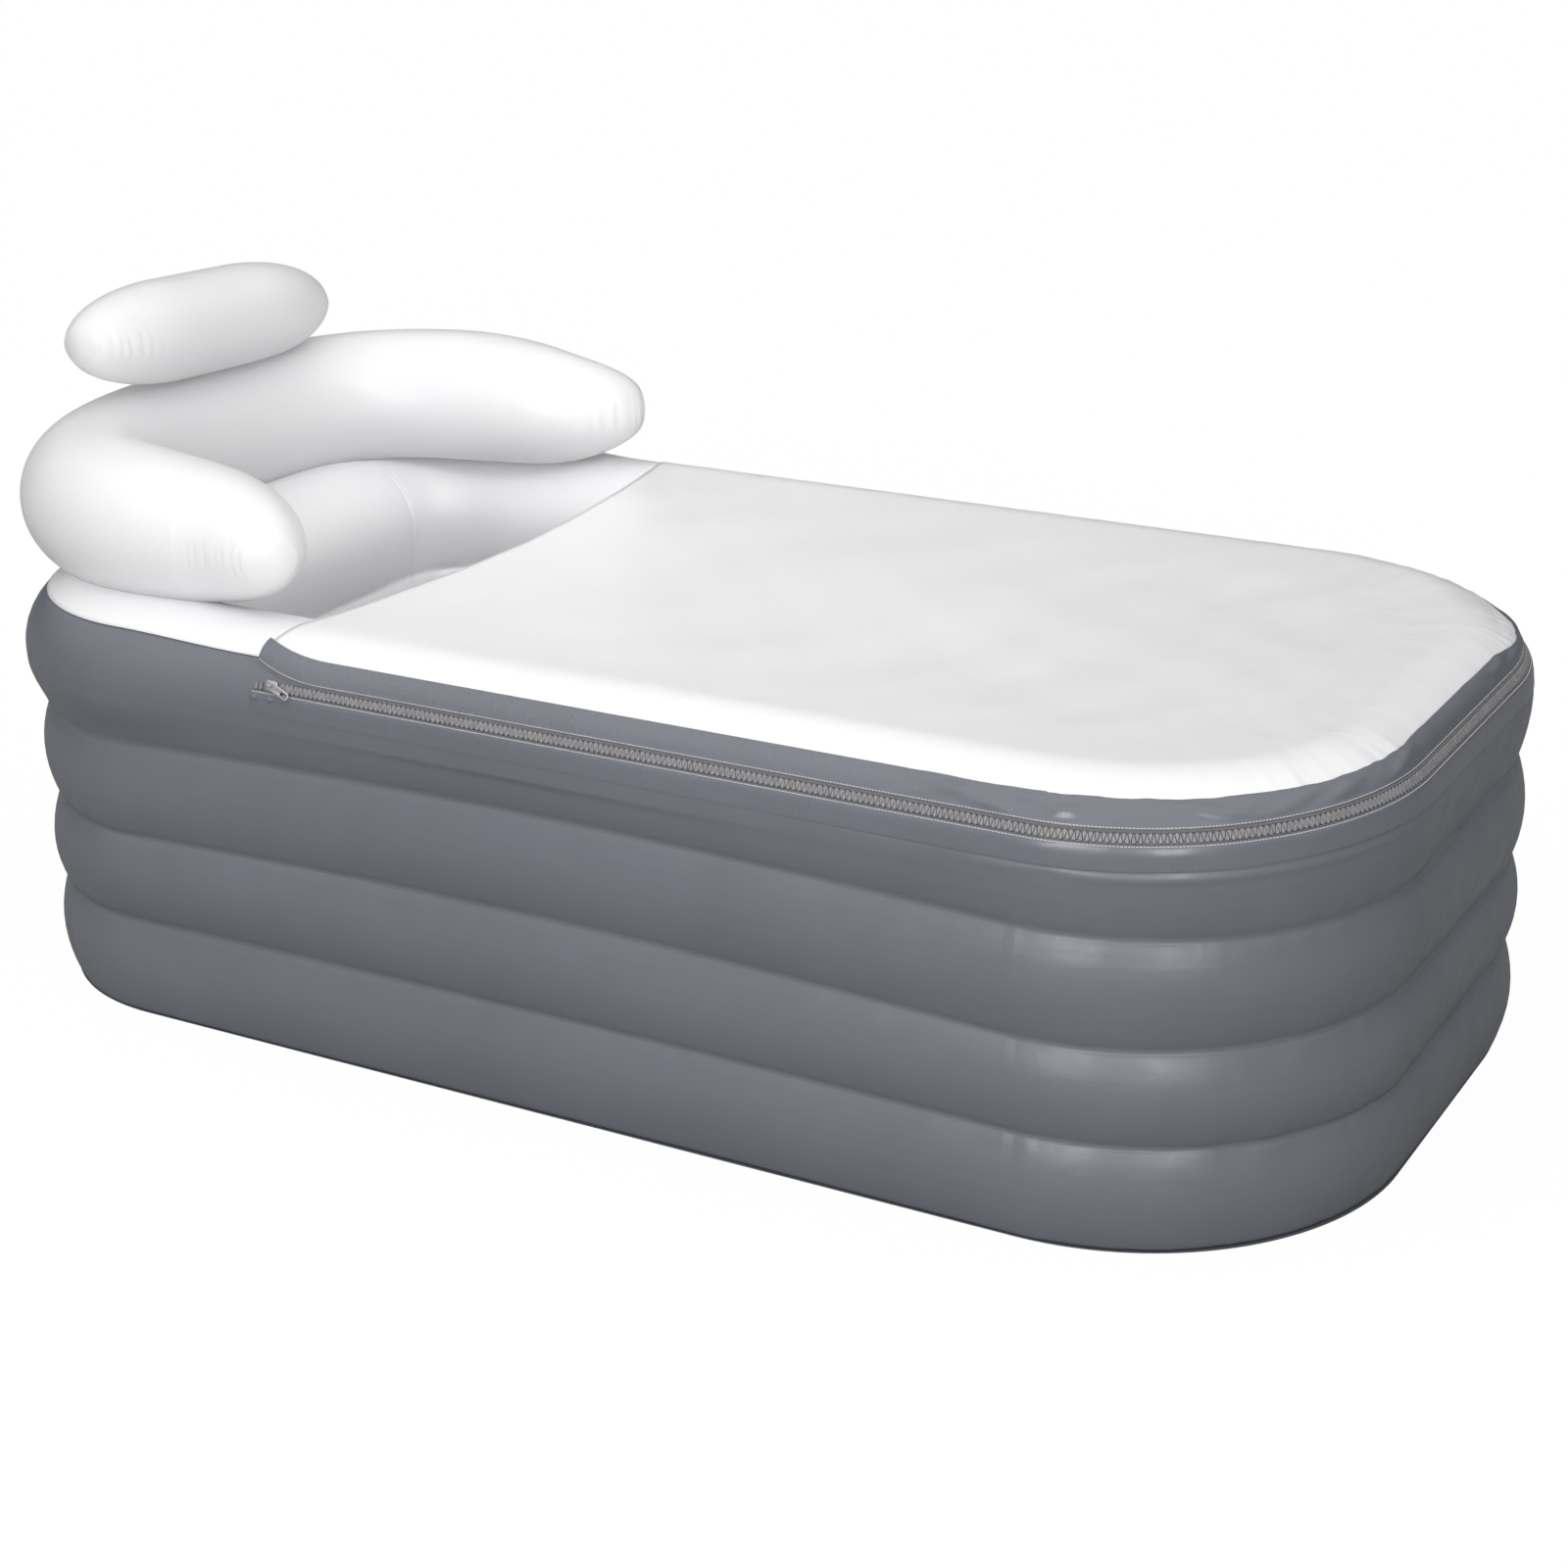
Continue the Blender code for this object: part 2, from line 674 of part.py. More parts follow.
def tube_with_tips(path, radius_at, height_share, floor_z):
    """A closed inflated tube along a level path, flat underneath where it rests."""
    rows = []
    last = len(path) - 1
    for number, point in enumerate(path):
        ahead = path[min(number + 1, last)] - path[max(number - 1, 0)]
        side = Vector((ahead.y, -ahead.x, 0.0)).normalized()
        radius = radius_at(number)
        row = []
        for step in range(TUBE_SIDES):
            angle = 2 * math.pi * step / TUBE_SIDES
            spot = point + side * (radius * math.cos(angle))
            spot.z += radius * height_share * math.sin(angle)
            spot.z = max(spot.z, floor_z)
            row.append(spot)
        rows.append(row)
    form = bmesh.new()
    form.from_mesh(loft(rows, wrap_stations=True))
    ends = [edge for edge in form.edges if edge.is_boundary]
    bmesh.ops.holes_fill(form, edges=ends, sides=TUBE_SIDES)
    bmesh.ops.recalc_face_normals(form, faces=form.faces)
    mesh = bpy.data.meshes.new("tube")
    form.to_mesh(mesh)
    form.free()
    return mesh


def spread(steps):
    """Shares from 0 to 1 that crowd together at both ends."""
    return [(1 - math.cos(math.pi * step / steps)) / 2 for step in range(steps + 1)]


def headrest_outline(share):
    """The headrest's middle line in plan, from the near tip round the back to the far tip."""
    arm = HEADREST_ARM_START - HEADREST_BEND_START
    back = HEADREST_BEND_START - HEADREST_BACK
    turn = 2 * share - 1
    bend_share = back * BEND_LENGTH_SHARE / (back * BEND_LENGTH_SHARE + arm)
    if abs(turn) > bend_share:
        out = (abs(turn) - bend_share) / (1 - bend_share)
        x = -HALF_LENGTH + HEADREST_BEND_START + arm * out
        y = HEADREST_HALF_WIDTH + HEADREST_SPLAY * out**2
        return Vector((x, math.copysign(y, turn), 0.0))
    angle = turn / bend_share * math.pi / 2
    power = 2 / HEADREST_ROUNDNESS
    x = -HALF_LENGTH + HEADREST_BEND_START - back * math.cos(angle) ** power
    y = HEADREST_HALF_WIDTH * abs(math.sin(angle)) ** power
    return Vector((x, math.copysign(y, turn), 0.0))


def even_path(outline, samples, shares):
    """Points of an outline at shares of its own length."""
    fine = [outline(step / samples) for step in range(samples + 1)]
    runs = [0.0]
    for first, second in zip(fine, fine[1:]):
        runs.append(runs[-1] + (second - first).length)
    points = []
    for share in shares:
        goal = share * runs[-1]
        index = max(number for number, run in enumerate(runs[:-1]) if run <= goal)
        rest = (goal - runs[index]) / (runs[index + 1] - runs[index])
        points.append(fine[index].lerp(fine[index + 1], rest))
    return points, runs[-1]


def make_headrest():
    """The white horseshoe that lies on the crest round the head end."""
    shares = spread(HEADREST_STEPS)
    path, length = even_path(headrest_outline, PATH_SAMPLES, shares)
    middle_z = CREST + HEADREST_RADIUS - HEADREST_SINK
    for point in path:
        point.z = middle_z

    def radius_at(number):
        from_tip = min(shares[number], 1 - shares[number]) * length
        swell = rounded(from_tip / HEADREST_TAPER)
        return HEADREST_TIP_RADIUS + (HEADREST_RADIUS - HEADREST_TIP_RADIUS) * swell

    mesh = tube_with_tips(path, radius_at, 1.0, CREST + CLEARANCE)
    headrest = place(mesh, "headrest_ring", WHITE_PVC)
    thicken(headrest, SHEET, -1)
    back_x = -HALF_LENGTH + HEADREST_BACK - HEADREST_RADIUS
    make_valve("headrest_valve", headrest, Vector((back_x, 0.0, middle_z)), Vector((-1, 0, 0)))


def make_pillow():
    """The white pillow that lies across the back of the headrest."""
    headrest_top = CREST + 2 * HEADREST_RADIUS - HEADREST_SINK
    back_x = -HALF_LENGTH + PILLOW_BACK
    middle_z = headrest_top + PILLOW_RISE
    shares = spread(PILLOW_STEPS)
    path = []
    for share in shares:
        y = PILLOW_LENGTH * (share - 1 / 2)
        path.append(Vector((back_x, y, middle_z - y * math.tan(PILLOW_TILT))))

    def radius_at(number):
        from_tip = min(shares[number], 1 - shares[number]) * PILLOW_LENGTH
        swell = rounded(from_tip / PILLOW_TAPER)
        return PILLOW_TIP_RADIUS + (PILLOW_DEPTH / 2 - PILLOW_TIP_RADIUS) * swell

    height_share = PILLOW_HEIGHT / PILLOW_DEPTH
    mesh = tube_with_tips(path, radius_at, height_share, headrest_top + CLEARANCE)
    pillow = place(mesh, "pillow", WHITE_PVC)
    thicken(pillow, SHEET, -1)
    back = Vector((back_x - PILLOW_DEPTH / 2, 0.0, middle_z))
    make_valve("pillow_valve", pillow, back, Vector((-1, 0, 0)))


def turned(profile, closed):
    """A mesh turned about its own Z from a profile that runs down its outer side."""
    outline = bpy.data.meshes.new("profile")
    edges = [(number, number + 1) for number in range(len(profile) - 1)]
    if closed:
        edges.append((len(profile) - 1, 0))
    outline.from_pydata([(radius, 0.0, z) for radius, z in profile], edges, [])
    holder = bpy.data.objects.new("profile", outline)
    scene_root.objects.link(holder)
    screw = holder.modifiers.new("turn", "SCREW")
    screw.steps = TURN_STEPS
    screw.render_steps = TURN_STEPS
    screw.use_merge_vertices = True
    screw.merge_threshold = MERGE
    bpy.context.view_layer.update()
    graph = bpy.context.evaluated_depsgraph_get()
    mesh = bpy.data.meshes.new_from_object(holder.evaluated_get(graph))
    bpy.data.objects.remove(holder)
    bpy.data.meshes.remove(outline)
    return mesh


def make_valve(name, carrier, spot, out):
    """An air valve in a carrier's wall: a flanged seat and its push-in stopper."""
    centre = spot + out * CLEARANCE
    stand = facing(centre, out)
    hole = NECK_RADIUS + CLEARANCE
    cut(carrier, cylinder_cutter(f"{name}_hole", hole, 2 * CUT_OVERRUN, facing(spot, out)))
    seat = [
        (VALVE_BORE_RADIUS, FLANGE_THICKNESS),
        (FLANGE_RADIUS, FLANGE_THICKNESS),
        (FLANGE_RADIUS, 0.0),
        (NECK_RADIUS, 0.0),
        (NECK_RADIUS, -NECK_DEPTH),
        (VALVE_BORE_RADIUS, -NECK_DEPTH),
    ]
    place(turned(seat, True), f"{name}_seat", VALVE_PVC, stand)
    cap_low = FLANGE_THICKNESS + CLEARANCE
    cap_high = cap_low + STOPPER_CAP_HEIGHT
    shaft = VALVE_BORE_RADIUS - STOPPER_CLEARANCE
    stopper = [
        (0.0, cap_high),
        (STOPPER_CAP_RADIUS, cap_high),
        (STOPPER_CAP_RADIUS, cap_low),
        (shaft, cap_low),
        (shaft, -STOPPER_DEPTH),
        (0.0, -STOPPER_DEPTH),
    ]
    place(turned(stopper, False), f"{name}_stopper", VALVE_PVC, stand)


def drain_stopper(name, stand):
    """A stopper with a finger grip, pushed into one end of the drain tube."""
    cap_low = DRAIN_FLANGE_THICKNESS + DRAIN_SEAT_GAP
    cap_high = cap_low + DRAIN_CAP_HEIGHT
    shaft = DRAIN_BORE_RADIUS - STOPPER_CLEARANCE
    profile = [
        (0.0, cap_high),
        (DRAIN_CAP_RADIUS, cap_high),
        (DRAIN_CAP_RADIUS, cap_low),
        (shaft, cap_low),
        (shaft, -DRAIN_STOPPER_DEPTH),
        (0.0, -DRAIN_STOPPER_DEPTH),
    ]
    stopper = place(turned(profile, False), name, VALVE_PVC, stand)
    grip = box_mesh(DRAIN_GRIP_LENGTH, DRAIN_GRIP_THICKNESS, DRAIN_GRIP_HEIGHT)
    rise = cap_high - GRIP_BITE + DRAIN_GRIP_HEIGHT / 2
    spot = stand @ Matrix.Translation((0.0, 0.0, rise))
    cut(stopper, cutter_object(grip, f"{name}_grip", spot), "UNION")


def box_mesh(length, width, height):
    """A plain box about its own origin."""
    form = bmesh.new()
    bmesh.ops.create_cube(form, size=1.0)
    bmesh.ops.scale(form, vec=(length, width, height), verts=form.verts)
    mesh = bpy.data.meshes.new("box")
    form.to_mesh(mesh)
    form.free()
    return mesh


def make_drain(outer_wall, inner_wall):
    """The drain: a flanged tube through the lowest ring, with a stopper at each end."""
    height = (BASE_TOP + LEVEL_1) / 2
    outer = Vector((-HALF_LENGTH - DRAIN_SEAT_GAP, 0.0, height))
    inner = Vector((-HALF_LENGTH + WALL_WIDTH + DRAIN_SEAT_GAP, 0.0, height))
    span = (inner - outer).length
    tube = DRAIN_BORE_RADIUS + DRAIN_TUBE_WALL
    hole = tube + CLEARANCE
    for wall, x in ((outer_wall, -HALF_LENGTH), (inner_wall, -HALF_LENGTH + WALL_WIDTH)):
        spot = facing(Vector((x, 0.0, height)), Vector((1.0, 0.0, 0.0)))
        cut(wall, cylinder_cutter(f"{wall.name}_drain_hole", hole, 2 * CUT_OVERRUN, spot))
    high = span + DRAIN_FLANGE_THICKNESS
    sleeve = [
        (DRAIN_BORE_RADIUS, high),
        (DRAIN_FLANGE_RADIUS, high),
        (DRAIN_FLANGE_RADIUS, span),
        (tube, span),
        (tube, 0.0),
        (DRAIN_FLANGE_RADIUS, 0.0),
        (DRAIN_FLANGE_RADIUS, -DRAIN_FLANGE_THICKNESS),
        (DRAIN_BORE_RADIUS, -DRAIN_FLANGE_THICKNESS),
    ]
    inwards = Vector((1.0, 0.0, 0.0))
    place(turned(sleeve, True), "drain_sleeve", VALVE_PVC, facing(outer, inwards))
    drain_stopper("drain_inner_stopper", facing(inner, inwards))
    drain_stopper("drain_outer_stopper", facing(outer, -inwards))


def zip_frame(x, side, lift):
    """A placement on the zip's middle line: along it, up the wall and out of it."""
    inset, z = shoulder(ZIP_HEIGHT, lift)
    foot_inset, foot_z = shoulder(ZIP_HEIGHT, 0.0)
    rise = Vector((inset - foot_inset, z - foot_z)).normalized()
    out = Vector((0.0, -rise.x * side, rise.y))
    up = Vector((0.0, -side * rise.y, -rise.x))
    along = up.cross(out)
    return frame(Vector((x, side * (HALF_WIDTH - inset), z)), along, up, out)


def make_slider():
    """The slider's front plate with its lips and bridge, and the pull tab on it."""
    stand = zip_frame(SLIDER_X, -1.0, PLATE_FRONT)
    carrier = add_empty("zip_slider_axis", stand)
    half = HALF_TEETH + CLEARANCE
    outer = half + SLIDER_LIP
    deep = SLIDER_PLATE + LIP_REACH
    section = [
        (-outer, 0.0),
        (outer, 0.0),
        (outer, -deep),
        (half, -deep),
        (half, -SLIDER_PLATE),
        (-half, -SLIDER_PLATE),
        (-half, -deep),
        (-outer, -deep),
    ]
    mesh = extruded_outline(section, SLIDER_LENGTH)
    mesh.transform(frame(Vector(), Vector((0, 1, 0)), Vector((0, 0, 1)), Vector((1, 0, 0))))
    slider = place(mesh, "zip_slider", SLIDER_METAL, parent=carrier)
    reach = BRIDGE_LENGTH / 2
    window = reach - BRIDGE_POST
    top = BRIDGE_WINDOW + BRIDGE_BAR
    bite = SLIDER_PLATE / 2
    arch = [
        (-reach, -bite),
        (-window, -bite),
        (-window, BRIDGE_WINDOW),
        (window, BRIDGE_WINDOW),
        (window, -bite),
        (reach, -bite),
        (reach, top),
        (-reach, top),
    ]
    arch_mesh = extruded_outline(arch, BRIDGE_WIDTH)
    upright = frame(Vector(), Vector((1, 0, 0)), Vector((0, 0, 1)), Vector((0, -1, 0)))
    arch_mesh.transform(upright)
    cut(slider, cutter_object(arch_mesh, "zip_slider_bridge", stand), "UNION")
    hinge = Matrix.Translation((0.0, 0.0, BRIDGE_WINDOW / 2)) @ Matrix.Rotation(-PULL_DROOP, 4, "Z")
    pull = extruded_outline(pull_outline(), PULL_THICKNESS, pull_holes())
    place(pull, "zip_pull_tab", SLIDER_METAL, hinge, carrier)


def rectangle(low_x, high_x, half_width):
    """The four corners of a rectangle along X."""
    return [(low_x, -half_width), (high_x, -half_width), (high_x, half_width), (low_x, half_width)]


def pull_outline():
    """The pull tab's outline: a narrow eye at the hinge and a wider grip."""
    heel = -PULL_PIN / 2
    neck = PULL_PIN / 2 + PULL_EYE
    waist = neck + PULL_ARM
    tip = heel + PULL_LENGTH
    eye_half = PULL_EYE_HALF_WIDTH + PULL_ARM
    grip_half = PULL_WIDTH / 2
    chamfer = grip_half / 3
    return [
        (heel, -eye_half),
        (neck, -eye_half),
        (waist, -grip_half),
        (tip - chamfer, -grip_half),
        (tip, -grip_half + chamfer),
        (tip, grip_half - chamfer),
        (tip - chamfer, grip_half),
        (waist, grip_half),
        (neck, eye_half),
        (heel, eye_half),
    ]


def pull_holes():
    """The eye that goes round the bridge, and the slot in the grip."""
    eye = rectangle(PULL_PIN / 2, PULL_PIN / 2 + PULL_EYE, PULL_EYE_HALF_WIDTH)
    tip = PULL_LENGTH - PULL_PIN / 2 - PULL_SLOT_MARGIN
    slot = rectangle(tip - PULL_SLOT_LENGTH, tip, PULL_SLOT_WIDTH / 2)
    return [eye, slot]


def make_zip_ends():
    """The retainer box and the insertion pin at the far end of the zip."""
    stand = zip_frame(COVER_EDGE + BOX_LENGTH / 2, 1.0, TEETH_BACK)
    box = box_mesh(BOX_LENGTH, BOX_WIDTH, BOX_DEPTH)
    low = Matrix.Translation((0.0, -HALF_GAP - BOX_WIDTH / 2, BOX_DEPTH / 2))
    place(box, "zip_retainer_box", TEETH_PLASTIC, stand @ low)
    pin = box_mesh(BOX_LENGTH, PIN_WIDTH, PIN_DEPTH)
    high = Matrix.Translation((0.0, HALF_GAP + PIN_WIDTH / 2, TEETH_DEPTH / 2))
    place(pin, "zip_insertion_pin", TEETH_PLASTIC, stand @ high)


make_base()
outer_wall = make_outer_wall()
inner_wall = make_inner_wall()
make_crest()
for web_number, web_level in enumerate((LEVEL_1, LEVEL_2, LEVEL_3), start=1):
    make_web(f"wall_web_{web_number}", web_level)
wall_valve_height = (LEVEL_2 + LEVEL_3) / 2
wall_valve_spot = Vector((-HALF_LENGTH, WALL_VALVE_OFFSET, wall_valve_height))
make_valve("wall_valve", outer_wall, wall_valve_spot, Vector((-1.0, 0.0, 0.0)))
make_drain(outer_wall, inner_wall)
make_floor()
make_zip()
make_skirt()
make_panel()
make_slider()
make_zip_ends()
make_headrest()
make_pillow()
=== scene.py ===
"""An inflated bathtub with a zip-on cover, a horseshoe headrest and a head pillow."""

import math

import bmesh
import bpy
import numpy as np
from mathutils import Matrix, Vector


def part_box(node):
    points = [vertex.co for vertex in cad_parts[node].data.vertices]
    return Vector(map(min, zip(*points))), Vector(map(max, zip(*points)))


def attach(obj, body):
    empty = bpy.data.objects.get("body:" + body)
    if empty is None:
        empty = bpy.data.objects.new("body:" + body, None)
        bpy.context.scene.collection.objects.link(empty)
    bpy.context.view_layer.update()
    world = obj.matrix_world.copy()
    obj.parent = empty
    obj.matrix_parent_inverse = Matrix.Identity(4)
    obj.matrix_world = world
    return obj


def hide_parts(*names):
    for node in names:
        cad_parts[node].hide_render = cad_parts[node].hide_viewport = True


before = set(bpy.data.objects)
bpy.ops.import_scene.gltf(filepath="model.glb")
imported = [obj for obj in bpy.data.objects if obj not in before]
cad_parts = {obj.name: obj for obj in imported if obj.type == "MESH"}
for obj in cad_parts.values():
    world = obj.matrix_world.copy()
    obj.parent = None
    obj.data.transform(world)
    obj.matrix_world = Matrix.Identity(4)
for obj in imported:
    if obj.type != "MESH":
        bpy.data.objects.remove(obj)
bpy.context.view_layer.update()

# Base sheet
# The tub stands on one sheet of slate grey PVC, cut to the plan of the tub.
# Its rim is heat-welded under the lowest ring, which leaves a narrow flange all round.

half_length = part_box("outer_wall")[1][0]
half_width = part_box("outer_wall")[1][1]
base_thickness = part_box("base_sheet")[1][2]
foot_radius = 0.296
head_radius = 0.236
foot_x = half_length - foot_radius
foot_y = half_width - foot_radius
head_x = half_length - head_radius
head_y = half_width - head_radius
flange_inset = 0.0120
weld_line_inset = 0.0170
weld_line_depth = 0.0003
base_edge = math.radians(35)
grey_colour = (0.146, 0.156, 0.180)

quarter = math.pi / 2
side_run = head_x + foot_x
leg_lengths = np.array(
    [
        side_run,
        quarter * foot_radius,
        2 * foot_y,
        quarter * foot_radius,
        side_run,
        quarter * head_radius,
        2 * head_y,
        quarter * head_radius,
    ]
)
leg_ends = np.cumsum(leg_lengths)
leg_starts = leg_ends - leg_lengths
girth = leg_ends[-1]
near_side, near_foot, foot_end, far_foot, far_side, far_head, head_end, near_head = range(8)
leg_anchors = np.array(
    [
        [-head_x, 0],
        [foot_x, -foot_y],
        [0, -foot_y],
        [foot_x, foot_y],
        [foot_x, 0],
        [-head_x, head_y],
        [0, head_y],
        [-head_x, -head_y],
    ]
)
leg_slides = np.array([[1, 0], [0, 0], [0, 1], [0, 0], [-1, 0], [0, 0], [0, -1], [0, 0]])
leg_angles = np.radians([-90, -90, 0, 0, 90, 90, 180, 180])
leg_turns = np.array([0, 1 / foot_radius, 0, 1 / foot_radius, 0, 1 / head_radius, 0, 1 / head_radius])
leg_radii = np.array(
    [half_width, foot_radius, half_length, foot_radius, half_width, head_radius, half_length, head_radius]
)


def leg_of(run):
    """Which straight or corner each distance round the tub lies on."""
    return np.minimum(np.searchsorted(leg_ends, np.mod(run, girth), side="right"), near_head)


def tub_point(run, inset, z):
    """Points at distances round the tub, counted from the near side's head end."""
    run, inset, z = np.broadcast_arrays(run, inset, z)
    leg = leg_of(run)
    into = np.mod(run, girth) - leg_starts[leg]
    angle = leg_angles[leg] + leg_turns[leg] * into
    reach = leg_radii[leg] - inset
    anchor = leg_anchors[leg] + leg_slides[leg] * into[..., None]
    x = anchor[..., 0] + np.cos(angle) * reach
    y = anchor[..., 1] + np.sin(angle) * reach
    return np.stack([x, y, z], axis=-1)


def near_run(x):
    """The distance round the tub of a place on the near side."""
    return x + head_x


def far_run(x):
    """The distance round the tub of a place on the far side."""
    return leg_starts[far_side] + foot_x - x


def spaced_runs(start, end, straight_step, corner_step):
    """Distances from start to end, closer together round the corners."""
    runs = [start]
    for leg, (low, high) in enumerate(zip(leg_starts, leg_ends)):
        low, high = max(low, start), min(high, end)
        if high - low < 1e-6:
            continue
        step = corner_step if leg_turns[leg] else straight_step
        count = max(1, round((high - low) / step))
        runs += list(np.linspace(low, high, count + 1)[1:])
    return np.array(runs)


def grid_mesh(name, points, wrap_rows=False, wrap_columns=False, capped=False):
    """A mesh over rows and columns of points, joined round on request."""
    rows, columns = points.shape[:2]
    index = np.arange(rows * columns).reshape(rows, columns)
    ends = [index[0, ::-1].tolist(), index[-1].tolist()]
    if wrap_rows:
        index = np.vstack([index, index[:1]])
    if wrap_columns:
        index = np.hstack([index, index[:, :1]])
    quads = np.stack([index[:-1, :-1], index[:-1, 1:], index[1:, 1:], index[1:, :-1]], axis=-1)
    faces = quads.reshape(-1, 4).tolist()
    if capped:
        faces += ends
    mesh = bpy.data.meshes.new(name)
    mesh.from_pydata(points.reshape(-1, 3).tolist(), [], faces)
    mesh.validate()
    return mesh


def outwards(points, wrap_columns=False):
    """The unit normal at each point of a grid whose columns run round the tub."""
    along = np.gradient(points, axis=1)
    if wrap_columns:
        along[:, 0] = points[:, 1] - points[:, -1]
        along[:, -1] = points[:, 0] - points[:, -2]
    across = np.gradient(points, axis=0)
    normal = np.cross(along, across)
    return normal / np.maximum(np.linalg.norm(normal, axis=-1, keepdims=True), 1e-12)


def outward_faces(mesh):
    """Merges doubles and turns every face outwards."""
    form = bmesh.new()
    form.from_mesh(mesh)
    bmesh.ops.remove_doubles(form, verts=form.verts, dist=1e-6)
    bmesh.ops.recalc_face_normals(form, faces=form.faces)
    form.to_mesh(mesh)
    form.free()
    return mesh


def add_piece(mesh, body, material, replaced=(), smooth=True, sharp=None):
    """Puts a finished mesh in the scene as a piece that rides on a body."""
    piece = bpy.data.objects.new(mesh.name, mesh)
    bpy.context.scene.collection.objects.link(piece)
    mesh.materials.clear()
    mesh.materials.append(material)
    if smooth:
        mesh.shade_smooth()
    if sharp:
        mesh.set_sharp_from_angle(angle=sharp)
    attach(piece, body)
    if replaced:
        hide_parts(*replaced)
    return piece


def thicken(piece, thickness, offset=-1):
    """Gives an open sheet its thickness, inwards unless told otherwise."""
    wall = piece.modifiers.new("thickness", "SOLIDIFY")
    wall.thickness = thickness
    wall.offset = offset
    return piece


def start_material(name, colour, roughness, metallic=0.0):
    """A Principled finish with its fixed values set."""
    material = bpy.data.materials.new(name)
    material.use_nodes = True
    shader = material.node_tree.nodes["Principled BSDF"]
    shader.inputs["Base Color"].default_value = (*colour, 1.0)
    shader.inputs["Roughness"].default_value = roughness
    shader.inputs["Metallic"].default_value = metallic
    return material, shader


def add_node(material, kind, settings=None, **values):
    """A shader node with its settings and the values or links of its inputs."""
    node = material.node_tree.nodes.new(kind)
    for setting, value in (settings or {}).items():
        setattr(node, setting, value)
    for key, value in values.items():
        socket = node.inputs[key.replace("_", " ")]
        if isinstance(value, bpy.types.NodeSocket):
            material.node_tree.links.new(value, socket)
        else:
            socket.default_value = value
    return node


def link(material, source, target):
    """Joins two sockets of a material."""
    material.node_tree.links.new(source, target)


def maths(material, operation, first, second=0.0):
    """A sum worked out by a material from values or links."""
    node = add_node(material, "ShaderNodeMath", {"operation": operation})
    for socket, value in zip(node.inputs, (first, second)):
        if isinstance(value, bpy.types.NodeSocket):
            link(material, value, socket)
        else:
            socket.default_value = value
    return node.outputs["Value"]


def object_place(material):
    """The place on the object, in metres."""
    return add_node(material, "ShaderNodeTexCoord").outputs["Object"]


def scaled(material, place, scale):
    """A place multiplied along each axis."""
    return add_node(material, "ShaderNodeMapping", Vector=place, Scale=scale).outputs["Vector"]


def noise(material, place, scale, detail=2.0, distortion=0.0):
    """A noise of a number of bumps to the metre."""
    return add_node(
        material, "ShaderNodeTexNoise", Vector=place, Scale=scale, Detail=detail, Distortion=distortion
    ).outputs["Fac"]


def between(material, value, low, high, new_low, new_high):
    """A value moved from one range to another."""
    node = add_node(material, "ShaderNodeMapRange")
    link(material, value, node.inputs["Value"])
    for name, number in (("From Min", low), ("From Max", high), ("To Min", new_low), ("To Max", new_high)):
        node.inputs[name].default_value = number
    return node.outputs["Result"]


def bump(material, height, distance, strength=1.0, under=None):
    """A bump of a height in metres, over another bump if there is one."""
    node = add_node(material, "ShaderNodeBump", Strength=strength, Distance=distance, Height=height)
    if under is not None:
        link(material, under, node.inputs["Normal"])
    return node.outputs["Normal"]


def shaded(colour, factor):
    """A colour made darker or lighter."""
    return tuple(min(1.0, channel * factor) for channel in colour)


def dye(material, shader, value, colour, dark, light):
    """Colours a shader between a darker and a lighter share of one colour, by a value from 0 to 1."""
    ramp = add_node(material, "ShaderNodeValToRGB", Fac=value)
    for element, share in zip(ramp.color_ramp.elements, (dark, light)):
        element.color = (*shaded(colour, share), 1.0)
    link(material, ramp.outputs["Color"], shader.inputs["Base Color"])


def sheet_streaks(material, under):
    """Fine streaks along a calendered sheet and the print of its welds, from the sheet's own map."""
    flat = add_node(material, "ShaderNodeUVMap", {"uv_map": "sheet"}).outputs["UV"]
    drawn = scaled(material, flat, (2.2, 55.0, 1.0))
    streak = bump(material, noise(material, drawn, 1.0, 3.0, 0.4), 0.0007, 0.55, under)
    gap = add_node(material, "ShaderNodeAttribute", {"attribute_name": "weld_gap"}).outputs["Fac"]
    loose = noise(material, scaled(material, flat, (9.0, 3.0, 1.0)), 1.0)
    wander = between(material, loose, 0.3, 0.7, 0.0030, 0.0058)
    off_line = maths(material, "ABSOLUTE", maths(material, "SUBTRACT", gap, wander))
    print_line = between(material, off_line, 0.0, 0.0011, 1.0, 0.0)
    broken = between(material, noise(material, flat, 7.0), 0.45, 0.6, 0.0, 1.0)
    return bump(material, maths(material, "MULTIPLY", print_line, broken), 0.0003, 0.6, streak)


